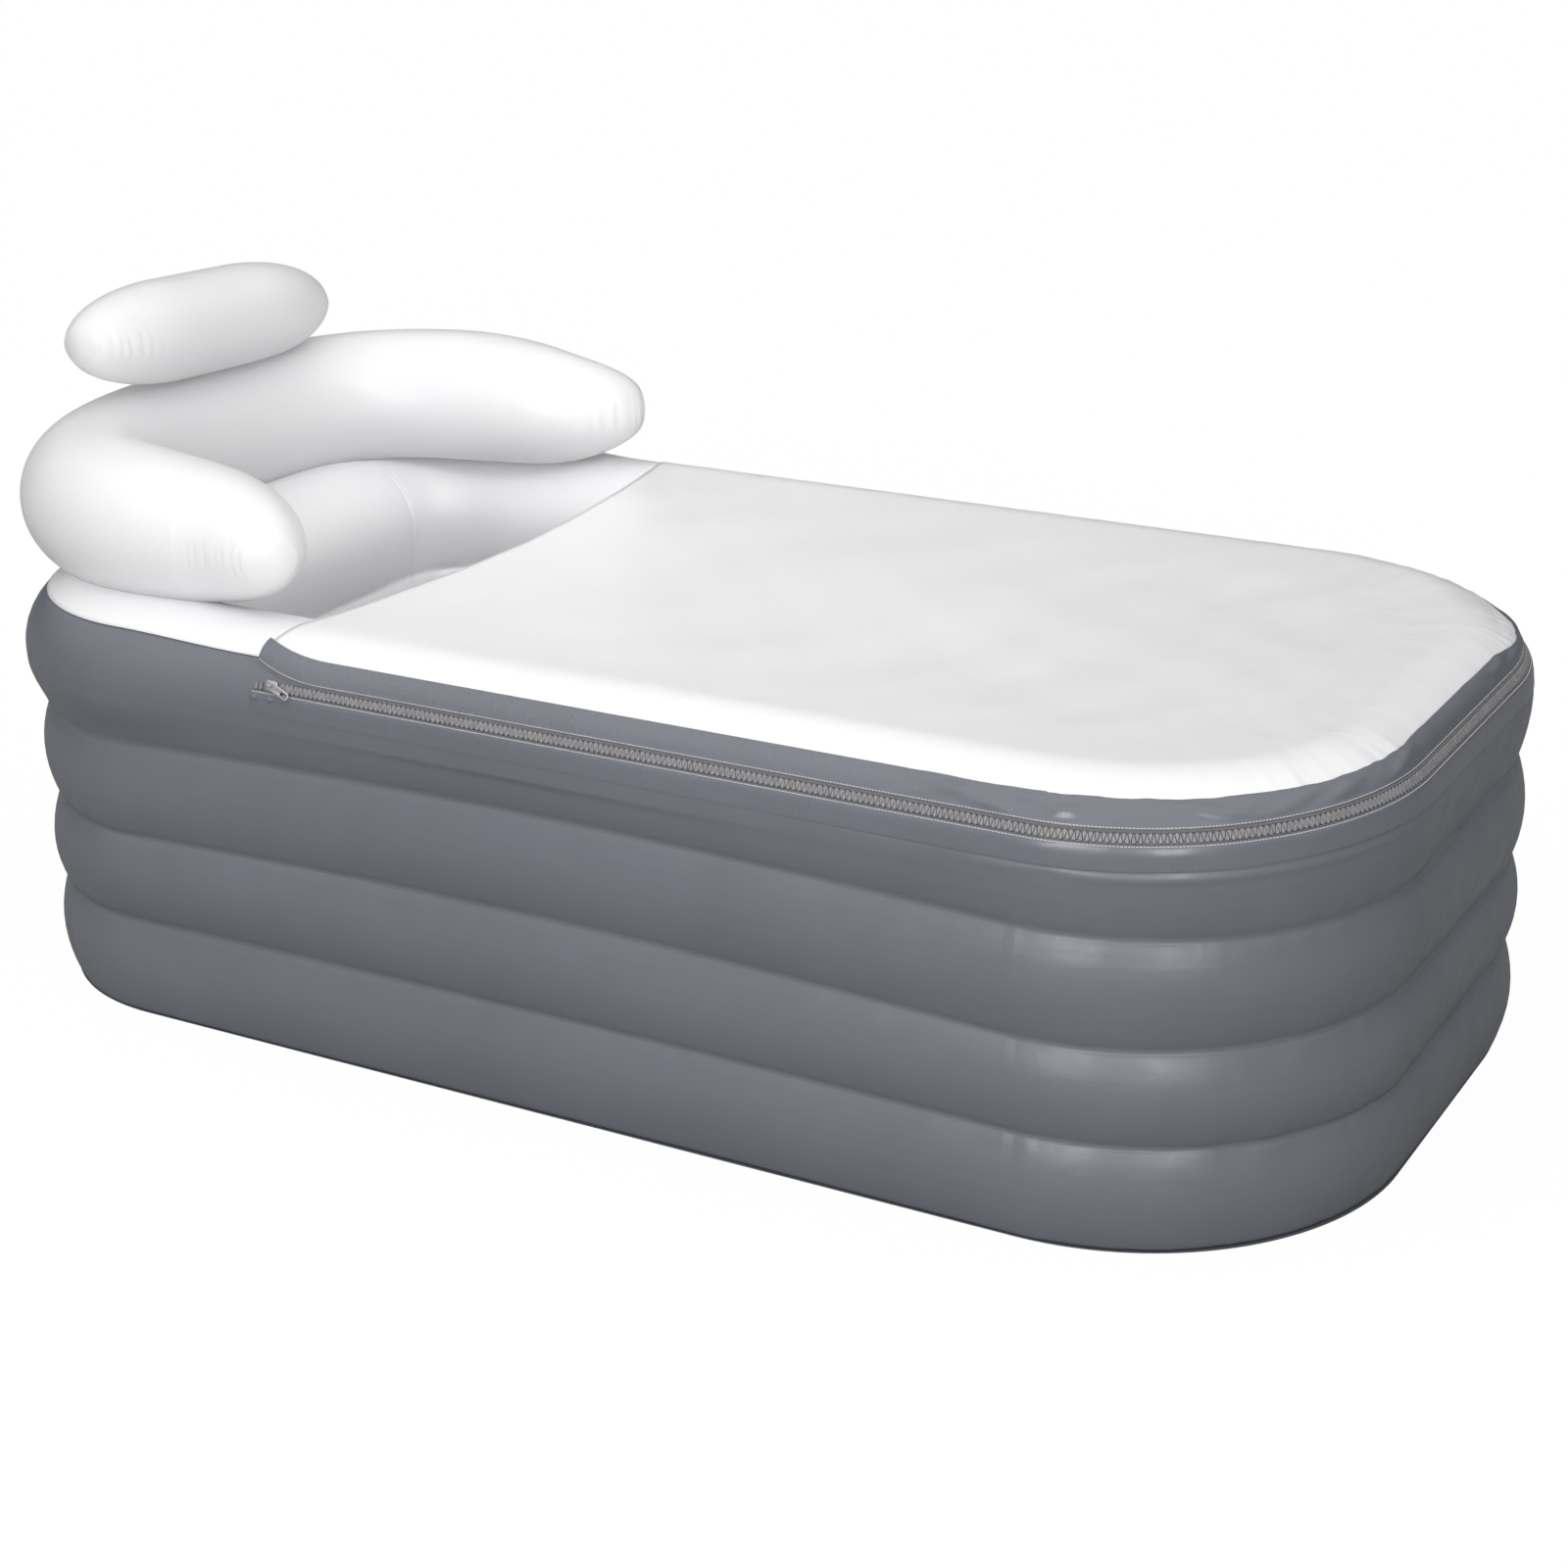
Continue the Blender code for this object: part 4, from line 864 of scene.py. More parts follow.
def air_valve(name, body, spot, out):
    """One valve: seat, strap and stopper."""
    stand = facing(spot, out)
    seat_corners = [
        (valve_bore, flange_depth),
        (valve_bore + 0.0018, flange_depth),
        (valve_bore + 0.0021, flange_depth * 0.7),
        (valve_flange - 0.0006, flange_depth * 0.55),
        (valve_flange, 0.0),
        (0.0070, 0.0),
        (0.0066, -neck_depth),
        (valve_bore, -neck_depth),
    ]
    seat = turned_mesh(name, rounded_profile(seat_corners, 0.0003, True), stand, True)
    root = valve_flange - 0.0012
    tip = 0.0078 + clearance
    shares = np.linspace(0, 1, 15)
    strap_x = root + 0.0065 * np.sin(np.pi * shares) + (tip - root) * shares
    strap_z = 0.0006 + 0.0048 * np.sin(np.pi * shares * 0.86) * shares**0.4 + 0.0004 * shares
    strap_run = np.stack([strap_x, 0 * strap_x, strap_z], axis=-1)
    heading = np.gradient(strap_run, axis=0)
    heading /= np.linalg.norm(heading, axis=1, keepdims=True)
    lift = np.stack([-heading[:, 2], 0 * strap_x, heading[:, 0]], axis=-1)
    side = np.array([0.0, 1.0, 0.0])
    half_strap, half_depth = 0.0016, 0.0004
    signs = ((1, 1), (1, -1), (-1, -1), (-1, 1))
    corners = [(half_strap * across, half_depth * up) for across, up in signs]
    strap_points = np.stack([strap_run + side * across + lift * up for across, up in corners], axis=1)
    strap = outward_faces(grid_mesh(name, strap_points, wrap_columns=True, capped=True))
    strap.transform(stand)
    flange = joined(f"{name}_flange", [seat, strap])
    add_piece(flange, "tub", valve_pvc, [f"{name}_seat"], sharp=moulded_edge)
    cap_low = flange_depth + clearance
    shaft = valve_bore - clearance
    stopper_corners = [
        (0.0, cap_low + 0.0021),
        (0.0045, cap_low + 0.0021),
        (0.0052, cap_low + 0.0024),
        (0.0074, cap_low + 0.0022),
        (0.0078, cap_low + 0.0012),
        (0.0076, cap_low),
        (shaft, cap_low),
        (shaft, -0.0020),
        (shaft - 0.0004, -0.0026),
        (shaft, -0.0032),
        (shaft, -0.0052),
        (shaft - 0.0012, -0.0090),
        (0.0, -0.0090),
    ]
    stopper = turned_mesh(f"{name}_cap", rounded_profile(stopper_corners, 0.0003, False), stand, False)
    add_piece(stopper, body, valve_pvc, [f"{name}_stopper"], sharp=moulded_edge)


def seat_face(node, out):
    """The place of a valve seat on the wall that carries it."""
    low, high = (Vector(corner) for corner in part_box(node))
    middle = (low + high) / 2
    reach = max(abs(high[axis] - low[axis]) * abs(out[axis]) for axis in range(3)) / 2
    return middle + Vector(out) * (reach - flange_depth)


headwards, upwards = (-1, 0, 0), (0, 0, 1)
for valve, out in (("wall", headwards), ("headrest", headwards), ("pillow", headwards), ("floor", upwards)):
    air_valve(f"{valve}_valve", f"{valve}_stopper", seat_face(f"{valve}_valve_seat", out), out)

# Welded zip band
# A strip of the grey sheet carries the lower zip tape: its lower edge is welded to the top ring
# and its upper edge, folded and stitched, lies over the tape.

zip_distance = 0.0335
half_teeth = 0.0048
tape_showing = 0.0029
tape_thickness = 0.0006
tape_lift = 0.0012
lap_lift_back = tape_lift + tape_thickness + clearance
cover_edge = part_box("cover_skirt")[0][0] - 0.015
tail_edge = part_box("zip_band")[0][0]
band_top = zip_distance - half_teeth - tape_showing + 0.0014
strip_edge = 0.9


def zip_point(runs, distance, lift):
    """Points along the zip, at distances up the top ring's face and lifts off it."""
    inset, level = ring_face(distance + zip_rise(runs), lift)
    return tub_point(runs, inset, level)


def strip_points(runs, faces):
    """Rows of points along the zip for the corners of a strip's section."""
    return np.stack([zip_point(runs, distance, lift) for distance, lift in faces], axis=1)


def strip_piece(name, runs, faces, body, material, replaced):
    """A closed strip along the zip, with a UV map in metres along and across it."""
    points = strip_points(runs, faces)
    mesh = grid_mesh(name, points, wrap_columns=True, capped=True)
    layer = mesh.uv_layers.new(name="along")
    count = len(faces)
    across = [float(np.mean(distance)) for distance, lift in faces]
    for loop in mesh.loops:
        layer.data[loop.index].uv = (runs[loop.vertex_index // count], across[loop.vertex_index % count])
    return add_piece(outward_faces(mesh), body, material, replaced, sharp=strip_edge)


def rippled(runs, seed, size, spacing=0.030):
    """Small waves in a strip that has been gathered round a corner."""
    return size * (0.25 + 0.75 * corner_share(runs)) * uneven(runs, spacing, seed)


band_runs = spaced_runs(near_run(tail_edge), far_run(tail_edge), 0.010, 0.005)
band_wave = rippled(band_runs, 41, 0.0008, 0.045)
band_edge = rippled(band_runs, 42, 0.0006, 0.060)
band_faces = [
    (band_low + band_edge, 0.0003 + sheet),
    (band_low + 0.0035 + band_edge, 0.0005 + sheet),
    (band_low + 0.0060 + band_edge, 0.0007 + sheet),
    (band_low + 0.0120 + band_edge, 0.0018 + band_wave * 0.7),
    (band_top - 0.0050, lap_lift_back + 0.0004 + sheet + band_wave * 0.4),
    (band_top - 0.0020, lap_lift_back + 0.0001 + sheet),
    (band_top, lap_lift_back + sheet * 0.8),
    (band_top, lap_lift_back),
    (band_top - 0.0020, lap_lift_back),
    (band_low + 0.0060 + band_edge, 0.0005),
    (band_low + band_edge, 0.0003),
]
band = strip_piece("zip_band_fold", band_runs, band_faces, "tub", grey_pvc, ["zip_band"])

# Lower zip tape and teeth
# The tape is a warm grey polyester weave, and the coarse teeth are injected onto its edge.
# A moulded box at the far end holds the other row's pin when the cover is zipped on.

tape_colour = (0.185, 0.176, 0.186)
teeth_colour = (0.255, 0.248, 0.255)
thread_colour = (0.66, 0.66, 0.67)
tape_width = 0.0100
tooth_pitch = 0.0059
tooth_depth = 0.0024
stitch_pitch = 0.0034
stitch_length = 0.0030
stitch_radius = 0.00052
crisp_edge = 0.7


def bands(material, place, direction, scale, distortion):
    """Waves in one direction, by a number to the metre."""
    node = add_node(material, "ShaderNodeTexWave", {"bands_direction": direction}, Vector=place)
    node.inputs["Scale"].default_value = scale
    node.inputs["Distortion"].default_value = distortion
    return node.outputs["Fac"]


def tape_material(name, colour):
    """Woven polyester tape: a fine herringbone in metres along the tape."""
    material, shader = start_material(name, colour, 0.85)
    shader.inputs["Sheen Weight"].default_value = 0.25
    shader.inputs["Sheen Roughness"].default_value = 0.5
    cloth = add_node(material, "ShaderNodeUVMap", {"uv_map": "along"}).outputs["UV"]
    weft = bands(material, cloth, "DIAGONAL", 260.0, 0.6)
    warp = bands(material, cloth, "Y", 190.0, 0.3)
    weave = maths(material, "MULTIPLY", weft, warp)
    dye(material, shader, weave, colour, 0.70, 1.20)
    link(material, bump(material, weave, 0.00012), shader.inputs["Normal"])
    return material


def moulded_material(name, colour, roughness):
    """Injected plastic: satin, with slight differences from one shot to the next."""
    material, shader = start_material(name, colour, roughness)
    place = object_place(material)
    shot = between(material, noise(material, place, 120.0, 1.0), 0.3, 0.7, 0.0, 1.0)
    dye(material, shader, shot, colour, 0.88, 1.10)
    rub = noise(material, place, 900.0, 1.0)
    polish = between(material, rub, 0.3, 0.7, roughness - 0.06, roughness + 0.08)
    link(material, polish, shader.inputs["Roughness"])
    link(material, bump(material, noise(material, place, 1800.0, 1.0), 0.00003), shader.inputs["Normal"])
    return material


def thread_material(name, colour):
    """Bonded polyester thread, with its twist as a fine diagonal."""
    material, shader = start_material(name, colour, 0.7)
    place = object_place(material)
    twist = bands(material, place, "DIAGONAL", 900.0, 1.0)
    dye(material, shader, twist, colour, 0.82, 1.08)
    link(material, bump(material, twist, 0.00006), shader.inputs["Normal"])
    return material


zip_tape = tape_material("woven zip tape", tape_colour)
zip_plastic = moulded_material("injected zip teeth", teeth_colour, 0.34)
thread = thread_material("bonded thread", thread_colour)


def tape_faces(low, high):
    """The section of a tape between two distances up the wall."""
    back, front = tape_lift, tape_lift + tape_thickness
    return [(low, back), (low, front), (high, front), (high, back)]


def place_along_tree(name):
    """Sets a copy of one shape at each point of a guide line, turned to the line and to the wall."""
    tree = bpy.data.node_groups.new(name, "GeometryNodeTree")
    sockets = tree.interface
    sockets.new_socket("Guide", in_out="INPUT", socket_type="NodeSocketGeometry")
    sockets.new_socket("Shape", in_out="INPUT", socket_type="NodeSocketObject")
    sockets.new_socket("Finish", in_out="INPUT", socket_type="NodeSocketMaterial")
    sockets.new_socket("Geometry", in_out="OUTPUT", socket_type="NodeSocketGeometry")
    nodes = tree.nodes
    start = nodes.new("NodeGroupInput")
    end = nodes.new("NodeGroupOutput")
    line = nodes.new("GeometryNodeMeshToCurve")
    heading = nodes.new("GeometryNodeInputTangent")
    out = nodes.new("GeometryNodeInputNamedAttribute")
    out.data_type = "FLOAT_VECTOR"
    out.inputs["Name"].default_value = "out"
    turn = nodes.new("FunctionNodeAxesToRotation")
    turn.primary_axis = "Z"
    turn.secondary_axis = "X"
    shape = nodes.new("GeometryNodeObjectInfo")
    copies = nodes.new("GeometryNodeInstanceOnPoints")
    solid = nodes.new("GeometryNodeRealizeInstances")
    finish = nodes.new("GeometryNodeSetMaterial")
    wires = (
        (start, "Guide", line, "Mesh"),
        (line, "Curve", copies, "Points"),
        (start, "Shape", shape, "Object"),
        (shape, "Geometry", copies, "Instance"),
        (out, "Attribute", turn, "Primary Axis"),
        (heading, "Tangent", turn, "Secondary Axis"),
        (turn, "Rotation", copies, "Rotation"),
        (copies, "Instances", solid, "Geometry"),
        (solid, "Geometry", finish, "Geometry"),
        (start, "Finish", finish, "Material"),
        (finish, "Geometry", end, "Geometry"),
    )
    for source, output, target, socket in wires:
        tree.links.new(source.outputs[output], target.inputs[socket])
    return tree


place_along = place_along_tree("shapes along a line")


def shape_object(mesh):
    """A model of the shape that a tree repeats."""
    model = bpy.data.objects.new(mesh.name, mesh)
    bpy.context.scene.collection.objects.link(model)
    return model


zip_line_runs = np.linspace(near_run(tail_edge), far_run(tail_edge), 6000)
zip_line = zip_point(zip_line_runs, zip_distance, 0.0)
zip_line_lengths = np.concatenate([[0.0], np.cumsum(np.linalg.norm(np.diff(zip_line, axis=0), axis=1))])


def paced_runs(start, end, pace, phase=0.0):
    """Runs from start to end that are an exact pace apart on the zip's middle line."""
    first, last = np.interp([start, end], zip_line_runs, zip_line_lengths) / pace
    steps = np.arange(math.ceil(first - phase), math.floor(last - phase) + 1) + phase
    return np.interp(steps * pace, zip_line_lengths, zip_line_runs)


def copies_along(name, runs, distance, lift, shape_mesh, body, material, replaced=()):
    """Repeats a shape along the zip and makes the result one plain mesh."""
    points = zip_point(runs, distance, lift)
    above = zip_point(runs, distance, lift + 0.001)
    guide_mesh = bpy.data.meshes.new(name)
    edges = [(number, number + 1) for number in range(len(runs) - 1)]
    guide_mesh.from_pydata(points.tolist(), edges, [])
    out = guide_mesh.attributes.new("out", "FLOAT_VECTOR", "POINT")
    out.data.foreach_set("vector", ((above - points) / 0.001).ravel())
    guide = bpy.data.objects.new(name, guide_mesh)
    bpy.context.scene.collection.objects.link(guide)
    shape = shape_object(shape_mesh)
    modifier = guide.modifiers.new("copies", "NODES")
    modifier.node_group = place_along
    for item in place_along.interface.items_tree:
        if item.in_out == "INPUT" and item.name in ("Shape", "Finish"):
            modifier[item.identifier] = {"Shape": shape, "Finish": material}[item.name]
    bpy.context.view_layer.update()
    graph = bpy.context.evaluated_depsgraph_get()
    mesh = bpy.data.meshes.new_from_object(guide.evaluated_get(graph))
    bpy.data.objects.remove(guide)
    bpy.data.objects.remove(shape)
    mesh.name = name
    return add_piece(mesh, body, material, replaced, smooth=False)


def tooth_mesh(name, side):
    """One tooth: a wedge from its tape to beyond the middle line, with a raised rib."""
    base, tip = half_teeth, -0.0034
    wide, narrow, neck = tooth_pitch * 0.37, tooth_pitch * 0.06, tooth_pitch * 0.17
    low, high = -tooth_depth / 2, tooth_depth / 2
    rim = 0.0007
    right_side = [(narrow, tip), (wide, base - 0.0017), (neck, base)]
    outline = [(-x, y) for x, y in right_side[::-1]] + right_side
    inner = [(x * 0.74, y + 0.0006 if y < 0 else y - 0.0005) for x, y in outline]
    mesh = bpy.data.meshes.new(name)
    points = [(x, side * y, low) for x, y in outline]
    points += [(x, side * y, high - rim) for x, y in outline]
    points += [(x, side * y, high) for x, y in inner]
    faces = []
    for row in (0, 6):
        for number in range(6):
            following = (number + 1) % 6
            faces.append((row + number, row + following, row + 6 + following, row + 6 + number))
    faces.append(tuple(range(12, 18)))
    faces.append(tuple(range(5, -1, -1)))
    mesh.from_pydata(points, [], faces)
    return outward_faces(mesh)


def stitch_mesh(name):
    """One stitch: a short thread that dips into the cloth at both ends."""
    rows = []
    corners = np.radians([45, 135, 225, 315])
    for share in (-0.5, -0.36, 0.0, 0.36, 0.5):
        size = stitch_radius * (0.55 if abs(share) == 0.5 else 1.0)
        dip = -stitch_radius * 1.2 * (2 * abs(share)) ** 4
        rows.append([(share * stitch_length, size * math.cos(a), dip + size * math.sin(a)) for a in corners])
    return outward_faces(grid_mesh(name, np.array(rows), wrap_columns=True, capped=True))


def tape_strip(name, runs, low, rise, body, node):
    """A zip tape from a distance up the wall."""
    faces = [(distance + rise, lift) for distance, lift in tape_faces(low, low + tape_width)]
    strip = strip_piece(name, runs, faces, body, zip_tape, [node])


def teeth_row(name, runs, side, body, node):
    """One row of teeth, moulded onto the tape on one side of the zip's middle line."""
    tooth = tooth_mesh(f"{name}_tooth", side)
    name = f"{name}_teeth"
    copies_along(name, runs, zip_distance, teeth_lift, tooth, body, zip_plastic, [node])


def stitch_row(name, runs, distance, body):
    """The stitches that hold a grey sheet to its tape."""
    stitch = stitch_mesh(f"{name}_stitch")
    copies_along(f"{name}_stitches", runs, distance, stitch_lift, stitch, body, thread)


slider_box = [Vector(corner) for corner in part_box("zip_slider")]
slider_middle = (slider_box[0].x + slider_box[1].x) / 2
slider_length = slider_box[1].x - slider_box[0].x
lower_runs = spaced_runs(near_run(tail_edge), far_run(tail_edge), 0.010, 0.005)
lower_low = zip_distance - half_teeth - clearance - tape_width
tape_strip("lower_tape", lower_runs, lower_low, 0.0, "tub", "zip_tape_lower")
box_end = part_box("zip_retainer_box")[1][0]
teeth_lift = clearance + tooth_depth / 2
lower_teeth_runs = paced_runs(near_run(tail_edge + 0.004), far_run(box_end + 0.002), tooth_pitch)
teeth_row("lower", lower_teeth_runs, -1, "tub", "zip_teeth_lower")
stitch_lift = lap_lift_back + sheet + 0.0002
stitch_inset = 0.0011
lower_stitch_runs = paced_runs(near_run(tail_edge + 0.003), far_run(tail_edge + 0.003), stitch_pitch)
stitch_row("lower", lower_stitch_runs, band_top - stitch_inset, "tub")


def weld_spot_mesh(name):
    """A spot weld, pressed up as a low glossy dome that is wider along the tape than across it."""
    rows = []
    compass = np.radians(range(0, 360, 30))
    for angle in np.radians([2, 25, 50, 70, 89]):
        reach, height = spot_reach * math.cos(angle), spot_height * math.sin(angle)
        rows.append([(reach * 1.4 * math.cos(a), reach * math.sin(a), height) for a in compass])
    return outward_faces(grid_mesh(name, np.array(rows), wrap_columns=True, capped=True))


spot_reach = 0.0034
spot_height = 0.0022
spot_runs = near_run(tail_edge) + np.array([0.005, 0.026])
spot_mesh = weld_spot_mesh("tail_weld")
spot_distance = band_top - 0.0065
spot_lift = lap_lift_back + sheet
copies_along("tail_welds", spot_runs, spot_distance, spot_lift, spot_mesh, "tub", grey_pvc)


def moulded_block(name, node, body, inset):
    """A moulded end piece with eased edges, in the place of its CAD node."""
    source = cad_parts[node]
    mesh = source.data.copy()
    mesh.transform(source.matrix_world)
    mesh.name = name
    outward_faces(mesh)
    form = bmesh.new()
    form.from_mesh(mesh)
    bmesh.ops.dissolve_limit(form, angle_limit=0.05, verts=form.verts, edges=form.edges)
    bmesh.ops.bevel(form, geom=form.edges[:], offset=inset, segments=2, profile=0.5, affect="EDGES")
    form.to_mesh(mesh)
    form.free()
    add_piece(mesh, body, zip_plastic, [node], sharp=crisp_edge)


moulded_block("retainer_box", "zip_retainer_box", "tub", 0.0005)

# Cover
# The top is one white PVC sheet, stretched over the crest from the near side round the foot
# to the far side. A grey skirt is welded along its rim and stitched to the upper zip tape.

cover_rim = seam_distance + 0.0002
cover_lift = 0.0005
cover_sag = 0.0040
neck_curve = 0.046
cover_straight = 0.008
rim_fade = 0.12
far_drop = 0.014
near_drop = 0.003
bridge_height = 0.0016
skirt_bow = 0.0014

cover_runs = spaced_runs(near_run(cover_edge), far_run(cover_edge), cover_straight, 0.0028)
crest_distance = np.interp(quarter, face_angles, face_distance)
rim_drop_share = smooth_share((cover_runs - leg_starts[foot_end] - 0.95 * leg_lengths[foot_end]) / rim_fade)
rim_drop_share *= 1 - smooth_share((cover_runs - leg_ends[far_foot]) / rim_fade)
near_drop_share = 1 - smooth_share((cover_runs - leg_starts[near_foot] + 0.05) / 0.15)
rim_drop = far_drop * rim_drop_share + near_drop * near_drop_share
lap_bridge = bridge_height * (rim_drop_share + near_drop_share)
rim_shares = np.linspace(0, 1, 14)[:, None]
rim_distances = cover_rim - rim_drop + (crest_distance - cover_rim + rim_drop) * rim_shares
field_shares = np.concatenate([[0.02, 0.05, 0.09, 0.14, 0.20], np.linspace(0.27, 1.0, 14)])
rim_lift = cover_lift + lap_bridge * np.clip((seam_distance + 0.006 - rim_distances) / 0.003, 0, 1)
rim_inset, rim_level = ring_face(rim_distances, rim_lift)
rim_rows = tub_point(cover_runs[None, :], rim_inset, rim_level)
crest_row = tub_point(cover_runs, half_wall, crest_level + cover_lift)
cover_legs = leg_of(cover_runs)
cover_into = cover_runs - leg_starts[cover_legs]
spine_x = leg_anchors[cover_legs][:, 0] + leg_slides[cover_legs][:, 0] * cover_into
on_foot_end = cover_legs == foot_end
spine_x = np.where(on_foot_end, foot_x, spine_x)
field_rows = []
for share in field_shares:
    row = crest_row.copy()
    row[:, 0] += (spine_x - row[:, 0]) * share
    row[:, 1] *= 1 - share
    row[:, 2] -= cover_sag * (1 - (1 - share) ** 2)
    field_rows.append(row)
cover_points = np.concatenate([rim_rows, np.array(field_rows)], axis=0)
rim_y = half_width - rim_inset[0, 0]
along_side = (spine_x - cover_edge) / (foot_x - cover_edge)
on_side = (cover_legs == near_side) | (cover_legs == far_side)
edge_x = cover_edge + neck_curve * (1 - (cover_points[..., 1] / rim_y) ** 2)
curved_x = edge_x + (foot_x - edge_x) * along_side[None, :]
cover_points[..., 0] = np.where(on_side[None, :], curved_x, cover_points[..., 0])
from_rim = np.linalg.norm(cover_points - cover_points[0], axis=-1)
foot_share = np.clip((cover_points[..., 0] - foot_x + 0.16) / 0.16, 0, 1)
gather = weld_puckers(cover_runs[None, :], from_rim, 500, spacing=0.010, depth=0.0016, reach=0.016)
foot_gather = weld_puckers(
    cover_runs[None, :] + 1.3, from_rim, 520, spacing=0.009, depth=0.0012, reach=0.012
)
gather += foot_share * foot_gather
gather *= np.clip((0.30 - from_rim) / 0.1, 0, 1)
cover_x, cover_y = cover_points[..., 0], cover_points[..., 1]
slack = 0.0012 * np.sin(cover_x * 9 + cover_y * 6) * np.sin(cover_y * 11 - cover_x * 4 + 1.2)
along_waves = np.sin(cover_x * 37 + 3 * np.sin(cover_y * 8))
across_waves = np.sin(cover_y * 29 + 2 * np.sin(cover_x * 7))
slack += 0.0007 * along_waves * across_waves
slack *= np.clip((from_rim - 0.08) / 0.12, 0, 1)
cover_normal = outwards(cover_points)
cover_normal[len(rim_distances) :] = (0.0, 0.0, 1.0)
resting = 0.0004 + np.clip((from_rim - 0.09) / 0.05, 0, 1) * 0.004
cover_points += cover_normal * np.maximum(gather + slack, -resting)[..., None]
cover_mesh = outward_faces(grid_mesh("cover_top", cover_points))
cover_top = add_piece(cover_mesh, "cover", white_pvc, ["cover_panel"])
thicken(cover_top, sheet, 1)

end_rise = 0.0185
end_reach = 0.090
fold_depth = 0.0015
foot_fold_depth = 0.0028
foot_fold_reach = 0.11
skirt_gap = 0.0008
rim_wave = 0.0010
skirt_top = seam_distance + 0.0035 - rim_drop - zip_rise(cover_runs)
skirt_low = zip_distance + half_teeth + tape_showing
skirt_wave = rippled(cover_runs, 61, 0.0011, 0.034)


def raised_end(runs):
    """How far the cover's edge draws up beside the slider, where the two tapes part."""
    return end_rise * np.clip(1 - (runs - near_run(cover_edge)) / end_reach, 0, 1) ** 2.2


def skirt_fold(runs, height):
    """Slanting folds of the slack skirt, deepest half way up it round the corners."""
    slant = runs + 0.110 * height
    other = runs - 0.080 * height
    folds = uneven(slant, 0.050, 63) + 0.6 * uneven(other, 0.032, 64)
    past_corner = (runs - leg_starts[near_foot] - 0.02) / foot_fold_reach
    depth = fold_depth + foot_fold_depth * np.exp(-(past_corner**2))
    return depth * corner_share(runs, 0.20) * folds * np.sin(np.pi * height) ** 0.8


skirt_rise = raised_end(cover_runs)
skirt_rim = rim_wave * corner_share(cover_runs, 0.16) * uneven(cover_runs, 0.017, 66)
skirt_faces = [(skirt_top + skirt_rim, cover_lift + lap_bridge + sheet + skirt_gap)]
for height in np.linspace(0.96, 0.03, 14):
    flat_part = float(np.clip((1 - height) / 0.75, 0, 1))
    swing = math.sin(math.pi * max(0.0, (height - 0.10) / 0.90))
    stand_off = (lap_lift_back - cover_lift - 0.0006) * flat_part
    bow = cover_lift + sheet + skirt_gap + stand_off + skirt_bow * swing
    fold = swing * skirt_wave + skirt_fold(cover_runs, max(0.0, height - 0.08))
    folded = bow + np.maximum(fold, -0.9 * skirt_bow * swing)
    up = skirt_low + (skirt_top + skirt_rim - skirt_low) * height
    skirt_faces.append((up, folded + lap_bridge * height))
skirt_faces += [
    (skirt_low, lap_lift_back + sheet),
    (skirt_low, lap_lift_back),
    (skirt_low + 0.0100, lap_lift_back),
    (skirt_top + skirt_rim, cover_lift + lap_bridge + sheet + clearance),
]
skirt_faces = [(distance + skirt_rise, lift) for distance, lift in skirt_faces]
skirt = strip_piece("skirt", cover_runs, skirt_faces, "cover", grey_pvc, ["cover_skirt"])

# Upper zip tape and teeth
# The matching half of the zip, sewn behind the skirt, with a moulded pin at its far end.

upper_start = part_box("zip_slider")[1][0] + clearance
upper_low = zip_distance + half_teeth + clearance
upper_runs = spaced_runs(near_run(cover_edge), far_run(cover_edge), 0.010, 0.005)
tail_rise = raised_end(upper_runs)
tape_strip("upper_tape", upper_runs, upper_low, tail_rise, "cover", "zip_tape_upper")
upper_teeth_runs = paced_runs(near_run(upper_start + 0.002), far_run(box_end + 0.002), tooth_pitch, 0.5)
teeth_row("upper", upper_teeth_runs, 1, "cover", "zip_teeth_upper")
upper_stitch_runs = paced_runs(near_run(cover_edge + 0.003), far_run(cover_edge + 0.003), stitch_pitch)
stitch_row("upper", upper_stitch_runs, skirt_low + stitch_inset + raised_end(upper_stitch_runs), "cover")
moulded_block("insertion_pin", "zip_insertion_pin", "cover", 0.0004)

# Headrest
# A horseshoe air tube of white PVC lies on the crest round the head end.
# Its upper and lower sheets are welded together round its outline, and crimp near its tips.

tube_radius = 0.0842
rest_sink = 0.0150
rest_level = crest_level + clearance
arm_start = 0.416
bend_start = 0.300
back_in = 0.010
arm_half_width = 0.318
arm_splay = 0.052
bend_power = 2 / 2.85
tip_taper = 0.256
tip_radius = 0.010
tube_sides = 96
tube_rings = 330


def smooth_end(share):
    """A quarter-round rise from 0 to 1."""
    return np.sqrt(np.maximum(0.0, 1 - (1 - np.clip(share, 0, 1)) ** 2))


def headrest_line(turn):
    """The middle line in plan at values from -1 at the near tip to 1 at the far tip."""
    arm = arm_start - bend_start
    back = bend_start - back_in
    bend_share = back * 1.5 / (back * 1.5 + arm)
    out = np.clip((np.abs(turn) - bend_share) / (1 - bend_share), 0, 1)
    angle = np.clip(turn / bend_share, -1, 1) * quarter
    bend_x = bend_start - back * np.cos(angle) ** bend_power
    bend_y = arm_half_width * np.abs(np.sin(angle)) ** bend_power
    x = np.where(out > 0, bend_start + arm * out, bend_x) - half_length
    y = np.where(out > 0, arm_half_width + arm_splay * out**2, bend_y)
    return np.stack([x, np.copysign(y, turn)], axis=-1)


def even_line(points, shares):
    """Points at shares of a line's own length."""
    steps = np.linalg.norm(np.diff(points, axis=0), axis=1)
    runs = np.concatenate([[0.0], np.cumsum(steps)])
    return np.stack([np.interp(shares * runs[-1], runs, column) for column in points.T], axis=-1), runs[-1]


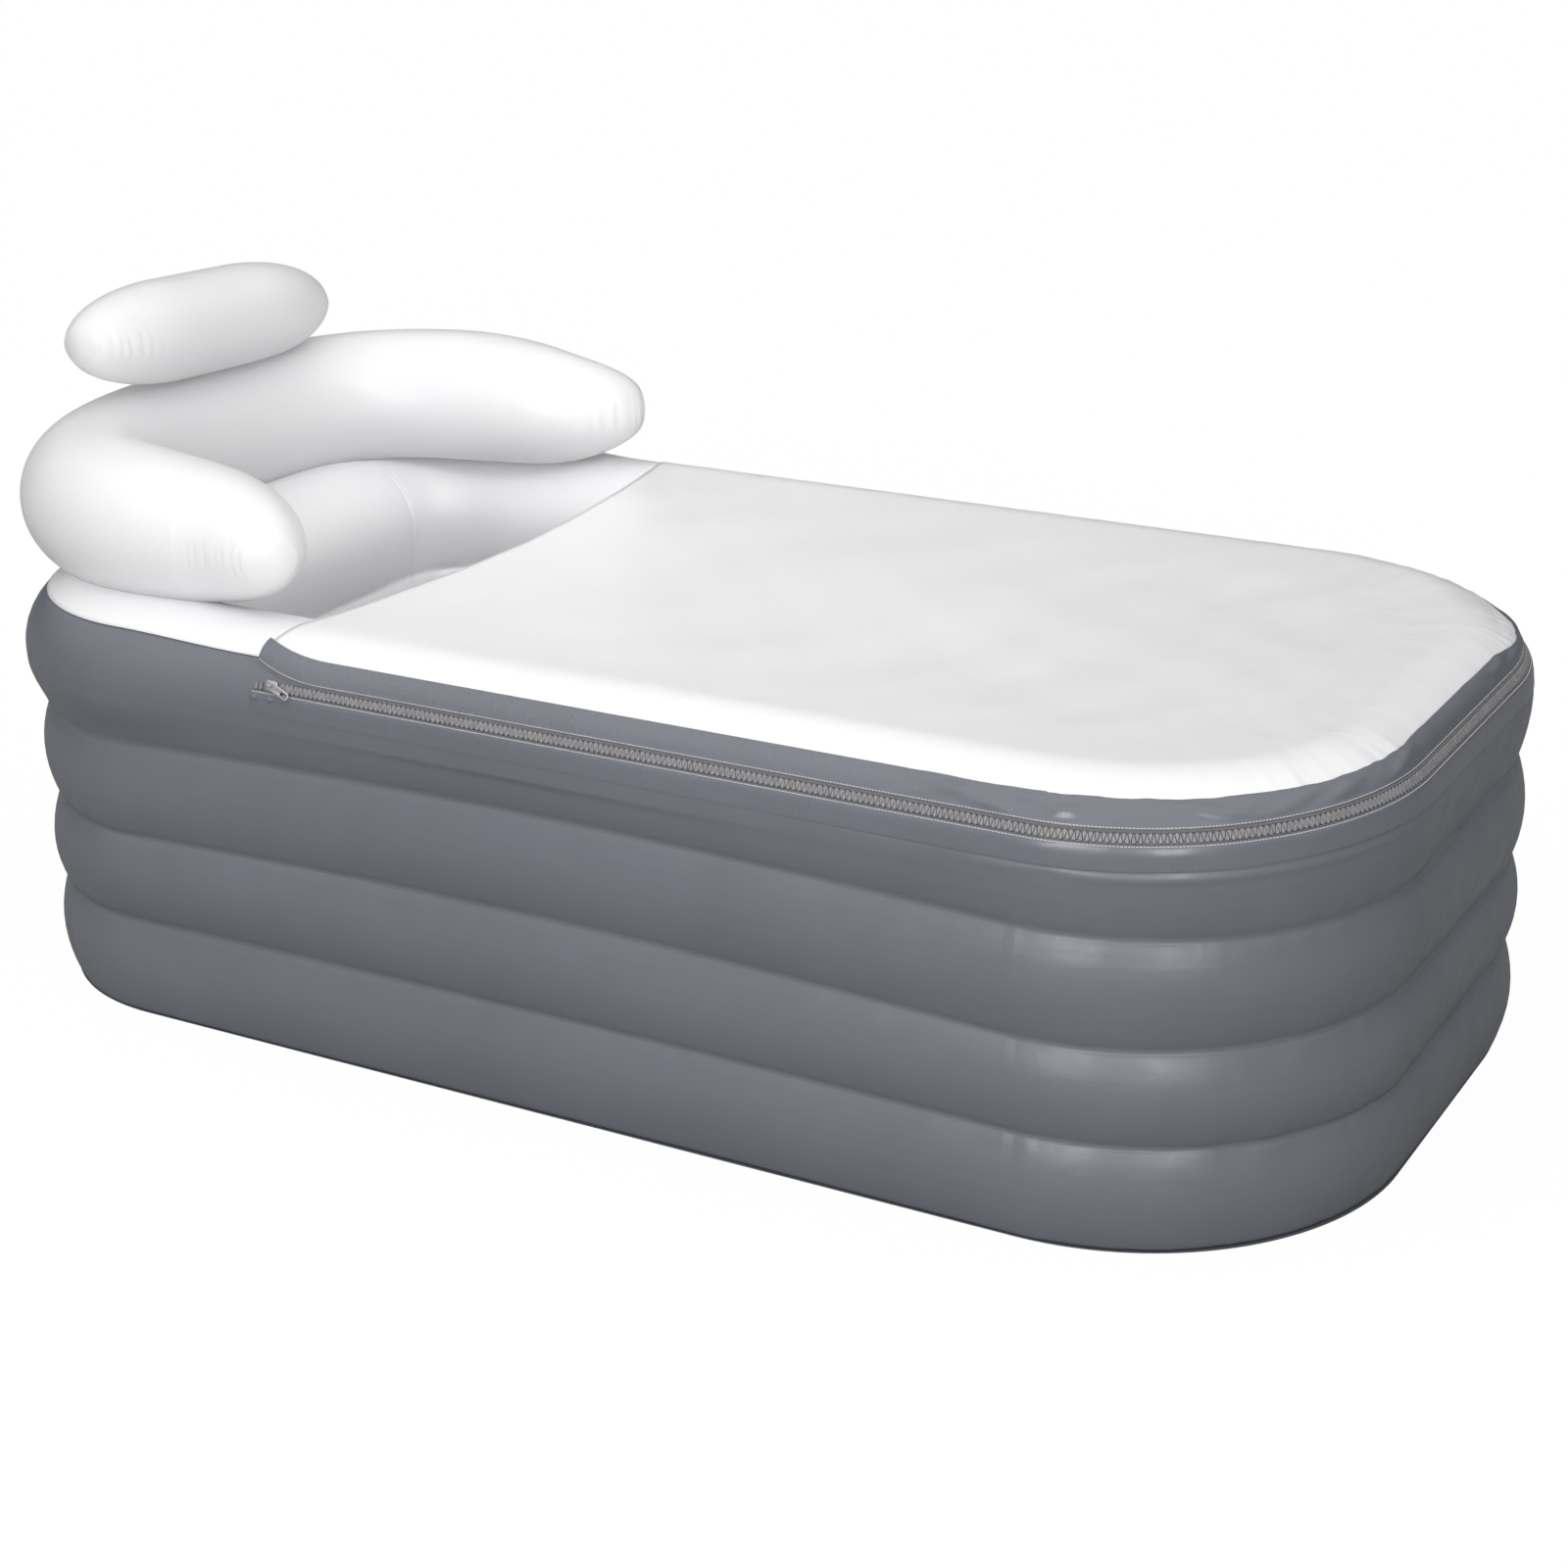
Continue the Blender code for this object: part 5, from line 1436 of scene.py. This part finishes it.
def seam_crimps(from_tip, radii, angle, seed, depth=0.0036, spacing=0.013, end=0.13):
    """Short crimps across the weld that joins a tube's upper and lower sheets, near its tips."""
    chance = np.random.default_rng(seed)
    steps = np.hypot(np.diff(from_tip), np.diff(radii))
    middle = len(from_tip) // 2
    near = np.concatenate([[0.0], np.cumsum(steps)])
    far = near[-1] - near
    edge = np.where(np.arange(len(from_tip)) < middle, near, far)[:, None]
    height = radii[:, None] * np.sin(angle)
    total = np.zeros_like(edge + angle)
    for tip in (0, 1):
        for side in (-1, 1):
            half = (np.arange(len(from_tip)) < middle) == (tip == 0)
            here = half[:, None] & (np.cos(angle) * side > 0)
            spot = chance.uniform(0.008, 0.014)
            while spot < end:
                width = chance.uniform(0.0024, 0.0038)
                reach = chance.uniform(0.008, 0.019) * (1.15 - spot / end * 0.4)
                deep = depth * chance.uniform(0.45, 1.15) * (1.1 - 0.7 * spot / end)
                along = np.exp(-(((edge - spot) / width) ** 2))
                lips = 0.35 * np.exp(-(((np.abs(edge - spot) - 2.1 * width) / width) ** 2))
                total += here * deep * (lips - along) * np.exp(-((height / reach) ** 2))
                spot += spacing * chance.uniform(0.6, 1.5)
    return total


def tube_mesh(name, line, level, radii, height_share, floor_level, puckers):
    """A closed air tube along a line, flattened underneath where it rests."""
    angle = np.linspace(0, 2 * math.pi, tube_sides, endpoint=False)
    ahead = np.gradient(line, axis=0)
    ahead /= np.linalg.norm(ahead, axis=1, keepdims=True)
    side = np.stack([ahead[:, 1], -ahead[:, 0]], axis=-1)
    reach = radii[:, None] + puckers
    x = line[:, :1] + side[:, :1] * reach * np.cos(angle)
    y = line[:, 1:] + side[:, 1:] * reach * np.cos(angle)
    z = level[:, None] + height_share * reach * np.sin(angle)
    rest = np.broadcast_to(floor_level, z.shape)
    soft = 0.004
    gap = z - rest
    z = rest + np.where(gap > soft, gap, soft * np.exp(np.minimum(gap / soft - 1, 0)))
    return outward_faces(grid_mesh(name, np.stack([x, y, z], axis=-1), wrap_columns=True, capped=True))


def tip_radii(from_tip, radius, end_radius, taper, nose=0.007):
    """The radius of a tube at distances from its tip, with a round nose."""
    body = end_radius + (radius - end_radius) * smooth_end(from_tip / taper)
    return np.maximum(body * smooth_end(from_tip / nose), 0.0002)


# Painted shade: the cushions' white PVC is painted 3% darker than the tub's, to make up for the extra lamp
# light that falls on them.
painted_shade_cushion_colour = shaded(white_colour, 0.97)
cushion_pvc = pvc_material("white PVC air cushion", painted_shade_cushion_colour, 0.36, 0.012, 0.0003, milky=0.75)
turns = np.linspace(-1, 1, 1200)
ring_shares = spread_shares(tube_rings, 0.72)
rest_line, rest_length = even_line(headrest_line(turns), ring_shares)
from_tip = np.minimum(ring_shares, 1 - ring_shares) * rest_length
rest_radii = tip_radii(from_tip, tube_radius, tip_radius, tip_taper)
rest_middle = np.full(tube_rings, crest_level + tube_radius - rest_sink)
around = np.linspace(0, 2 * math.pi, tube_sides, endpoint=False)[None, :]
rest_puckers = seam_crimps(from_tip, rest_radii, around, 71)
headrest_mesh = tube_mesh("headrest_tube", rest_line, rest_middle, rest_radii, 1.0, rest_level, rest_puckers)
headrest = add_piece(headrest_mesh, "tub", cushion_pvc, ["headrest_ring"])

# Pillow
# A short white air cushion of two welded sheets lies across the back of the headrest.
# It leans a little, so that its near end stands higher.

pillow_low, pillow_high = (Vector(corner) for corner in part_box("pillow"))
pillow_length = pillow_high.y - pillow_low.y
pillow_depth = pillow_high.x - pillow_low.x
pillow_share = 0.120 / 0.130
pillow_taper = 0.150
pillow_x = (pillow_low.x + pillow_high.x) / 2
pillow_rise = 0.0598
pillow_tilt = math.radians(3.2)
headrest_top = crest_level + 2 * tube_radius - rest_sink

pillow_shares = spread_shares(220, 0.6)
pillow_y = pillow_length * (pillow_shares - 0.5)
pillow_line = np.stack([np.full_like(pillow_y, pillow_x), pillow_y], axis=-1)
pillow_tip = np.minimum(pillow_shares, 1 - pillow_shares) * pillow_length
pillow_radii = tip_radii(pillow_tip, pillow_depth / 2, 0.008, pillow_taper)
pillow_middle = headrest_top + pillow_rise - pillow_y * math.tan(pillow_tilt)
pillow_puckers = seam_crimps(pillow_tip, pillow_radii, around, 83, end=0.11)
pillow_mesh = tube_mesh(
    "head_pillow",
    pillow_line,
    pillow_middle,
    pillow_radii,
    pillow_share,
    headrest_top + clearance,
    pillow_puckers,
)
pillow = add_piece(pillow_mesh, "tub", cushion_pvc, ["pillow"])

# Zip slider and pull tab
# The slider is a die-cast, nickel-plated plate with side lips and a bridge for the pull tab.
# The tab is a slotted strip that hinges on the bridge and lies along the zip, drooping a little.

metal_colour = (0.62, 0.61, 0.60)
plate_back = clearance + tooth_depth + clearance
plate_thickness = 0.0012
lip_reach = 0.0009
pull_droop = math.radians(20)
window_height = 0.0024


def metal_material(name, colour):
    """Nickel plate: bright, finely brushed, with dull patches from handling."""
    material, shader = start_material(name, colour, 0.26, 1.0)
    place = object_place(material)
    brushed = noise(material, scaled(material, place, (60.0, 900.0, 900.0)), 4.0, 3.0)
    worn = noise(material, place, 180.0, 3.0)
    rough = between(material, worn, 0.3, 0.7, 0.18, 0.38)
    link(material, rough, shader.inputs["Roughness"])
    dye(material, shader, worn, colour, 0.84, 1.06)
    link(material, bump(material, brushed, 0.00002), shader.inputs["Normal"])
    return material


zip_metal = metal_material("nickel-plated zinc", metal_colour)


def zip_stand(x, lift):
    """A placement on the zip's middle line: X along it, Y up the wall and Z out of it."""
    inset, level = ring_face(zip_distance, lift)
    inset_base, level_base = ring_face(zip_distance, 0.0)
    rise = Vector((inset - inset_base, level - level_base)).normalized()
    out = Vector((0.0, rise.x, rise.y))
    up = Vector((0.0, rise.y, -rise.x))
    turn = Matrix((Vector((1, 0, 0)), up, out)).transposed().to_4x4()
    return Matrix.Translation((x, -(half_width - inset), level)) @ turn


def mirrored(side):
    """A whole outline from one side of it."""
    return side + [(x, -y) for x, y in side[::-1]]


slider_stand = zip_stand(slider_middle, plate_back + plate_thickness)
half_plate = slider_length / 2
lip_inside = half_teeth + clearance
lip_outside = lip_inside + 0.0011
plate_side = [
    (-half_plate, -lip_outside * 0.72),
    (-half_plate + 0.0020, -lip_outside),
    (half_plate - 0.0050, -lip_outside),
    (half_plate - 0.0012, -lip_outside * 0.86),
    (half_plate, -lip_outside * 0.60),
]
plate_outline = mirrored(plate_side)
plate_level = Matrix.Translation((0, 0, -plate_thickness / 2))
plate = slab_mesh("slider_plate", plate_outline, plate_thickness, 0.0003, slider_stand @ plate_level)
slider_parts = [plate]
for side in (-1, 1):
    lip_low = min(side * lip_inside, side * lip_outside)
    lip_high = max(side * lip_inside, side * lip_outside)
    lip_outline = rounded_outline((-half_plate + 0.0020, lip_low), (half_plate - 0.0050, lip_high), 0.0004, 3)
    lip_level = Matrix.Translation((0, 0, -(plate_thickness + lip_reach) / 2 - 0.0001))
    lip_depth = plate_thickness + lip_reach - 0.0002
    slider_parts.append(slab_mesh("slider_lip", lip_outline, lip_depth, 0.0002, slider_stand @ lip_level))
rib_outline = rounded_outline((-half_plate + 0.0010, -0.0010), (half_plate - 0.0010, 0.0010), 0.0009, 3)
rib_level = Matrix.Translation((0, 0, 0.0001))
slider_parts.append(slab_mesh("slider_rib", rib_outline, 0.0006, 0.0002, slider_stand @ rib_level))
bridge_outer, bridge_inner = 0.0034, 0.0022
bridge_top = window_height + 0.0010
bridge_outline = [
    (-bridge_outer, -0.0006),
    (-bridge_inner, -0.0006),
    (-bridge_inner, window_height - 0.0005),
    (-bridge_inner + 0.0005, window_height),
    (bridge_inner - 0.0005, window_height),
    (bridge_inner, window_height - 0.0005),
    (bridge_inner, -0.0006),
    (bridge_outer, -0.0006),
    (bridge_outer, bridge_top - 0.0010),
    (bridge_outer - 0.0008, bridge_top),
    (-bridge_outer + 0.0008, bridge_top),
    (-bridge_outer, bridge_top - 0.0010),
]
upright = Matrix.Rotation(quarter, 4, "X")
slider_parts.append(slab_mesh("slider_bridge", bridge_outline, 0.0020, 0.0002, slider_stand @ upright))
slider_mesh = joined("slider_body", slider_parts)
add_piece(slider_mesh, "slider", zip_metal, ["zip_slider"], sharp=crisp_edge)

hinge_place = Matrix.Translation((0, 0, window_height / 2))
tab_stand = slider_stand @ hinge_place @ Matrix.Rotation(-pull_droop, 4, "Z")
heel, neck, waist, tip = -0.0008, 0.0044, 0.0066, 0.0272
eye_half, grip_half = 0.0047, 0.00475
tab_side = [(heel, -eye_half + 0.0012), (heel + 0.0008, -eye_half), (neck - 0.0010, -eye_half)]
tab_side += [(neck + 0.0008, -grip_half + 0.0011), (waist, -grip_half + 0.0009), (waist + 0.0024, -grip_half)]
tab_end = []
for step in range(9):
    angle = -quarter + math.pi * step / 8
    tab_end.append((tip - grip_half + grip_half * math.cos(angle), grip_half * math.sin(angle)))
tab_outline = tab_side + tab_end + [(x, -y) for x, y in tab_side[::-1]]
eye_hole = rounded_outline((0.0008, -0.0025), (0.0044, 0.0025), 0.0006, 3)
slot_hole = rounded_outline((0.0156, -0.0020), (0.0246, 0.0020), 0.0019, 5)
tab_mesh = slab_mesh("pull_plate", tab_outline, 0.0009, 0.0002, tab_stand, [eye_hole, slot_hole])
add_piece(tab_mesh, "pull_tab", zip_metal, ["zip_pull_tab"], sharp=crisp_edge)

# Studio
# A plain floor, two softboxes before the near side, a gridded lamp towards the head end,
# and a room that is brightest overhead.

floor_colour = (0.30, 0.30, 0.30)


def stage_floor():
    """A wide floor, white to the camera, that keeps the tub's soft shadow."""
    mesh = bpy.data.meshes.new("studio_floor")
    half = 30.0
    corners = [(half * x, half * y, 0) for x, y in ((-1, -1), (1, -1), (1, 1), (-1, 1))]
    mesh.from_pydata(corners, [], [(0, 1, 2, 3)])
    floor_object = bpy.data.objects.new("studio_floor", mesh)
    bpy.context.scene.collection.objects.link(floor_object)
    material, shader = start_material("studio floor", floor_colour, 0.9)
    glow = add_node(material, "ShaderNodeEmission", Color=(1, 1, 1, 1), Strength=1.10)
    ray = add_node(material, "ShaderNodeLightPath").outputs["Is Camera Ray"]
    mix = add_node(material, "ShaderNodeMixShader", Fac=maths(material, "MULTIPLY", ray, 0.88))
    link(material, shader.outputs["BSDF"], mix.inputs[1])
    link(material, glow.outputs["Emission"], mix.inputs[2])
    output = next(item for item in material.node_tree.nodes if item.type == "OUTPUT_MATERIAL")
    link(material, mix.outputs["Shader"], output.inputs["Surface"])
    mesh.materials.append(material)


def softbox(name, place, target, size, power, spread=180):
    """A large soft lamp aimed at a point, with a grid that narrows its beam where asked."""
    lamp = bpy.data.lights.new(name, "AREA")
    lamp.shape = "RECTANGLE"
    lamp.spread = math.radians(spread)
    lamp.size, lamp.size_y = size
    lamp.energy = power
    holder = bpy.data.objects.new(name, lamp)
    holder.location = place
    holder.rotation_euler = (Vector(target) - Vector(place)).to_track_quat("-Z", "Y").to_euler()
    bpy.context.scene.collection.objects.link(holder)


stage_floor()
softbox("near_softbox", (0.42, -4.1, 1.5), (0.5, -0.3, 0.25), (0.9, 1.6), 45)
softbox("right_softbox", (2.75, -3.45, 1.5), (0.5, -0.3, 0.25), (0.9, 1.6), 40)
softbox("head_fill", (1.5, -0.9, 2.1), (-0.48, 0.14, 0.44), (0.7, 0.7), 0.85, 34)

world = bpy.data.worlds.new("studio")
bpy.context.scene.world = world
world.use_nodes = True
backdrop = world.node_tree.nodes["Background"]
backdrop.inputs["Color"].default_value = (1, 1, 1, 1)
ray = add_node(world, "ShaderNodeLightPath").outputs["Is Camera Ray"]
overhead = add_node(world, "ShaderNodeVectorMath", {"operation": "DOT_PRODUCT"})
overhead.inputs[1].default_value = (0.0, -0.22, 1.0)
link(world, add_node(world, "ShaderNodeTexCoord").outputs["Generated"], overhead.inputs[0])
room = between(world, overhead.outputs["Value"], 0.08, 1.0, 0.0, 1.27)
level = add_node(world, "ShaderNodeMix", Factor=ray, A=room, B=1.0)
link(world, level.outputs["Result"], backdrop.inputs["Strength"])

# Camera
# It looks down on the near foot corner, as in the photograph.

camera_data = bpy.data.cameras.new("view")
camera_data.sensor_width = 36.0
camera_data.lens = 67.74
camera = bpy.data.objects.new("view", camera_data)
bpy.context.scene.collection.objects.link(camera)
yaw, pitch, roll, camera_distance = 0.5173, 0.3699, -0.0169, 3.3058
target = Vector((0.0157, 0.0029, 0.2275))
back = Vector((math.sin(yaw) * math.cos(pitch), -math.cos(yaw) * math.cos(pitch), math.sin(pitch)))
right = Vector((math.cos(yaw), math.sin(yaw), 0.0))
above = back.cross(right)
tilted_right = right * math.cos(roll) + above * math.sin(roll)
tilted_above = above * math.cos(roll) - right * math.sin(roll)
turn = Matrix((tilted_right, tilted_above, back)).transposed().to_4x4()
camera.matrix_world = Matrix.Translation(target + back * camera_distance) @ turn
bpy.context.scene.camera = camera
bpy.context.scene.view_settings.view_transform = "Standard"
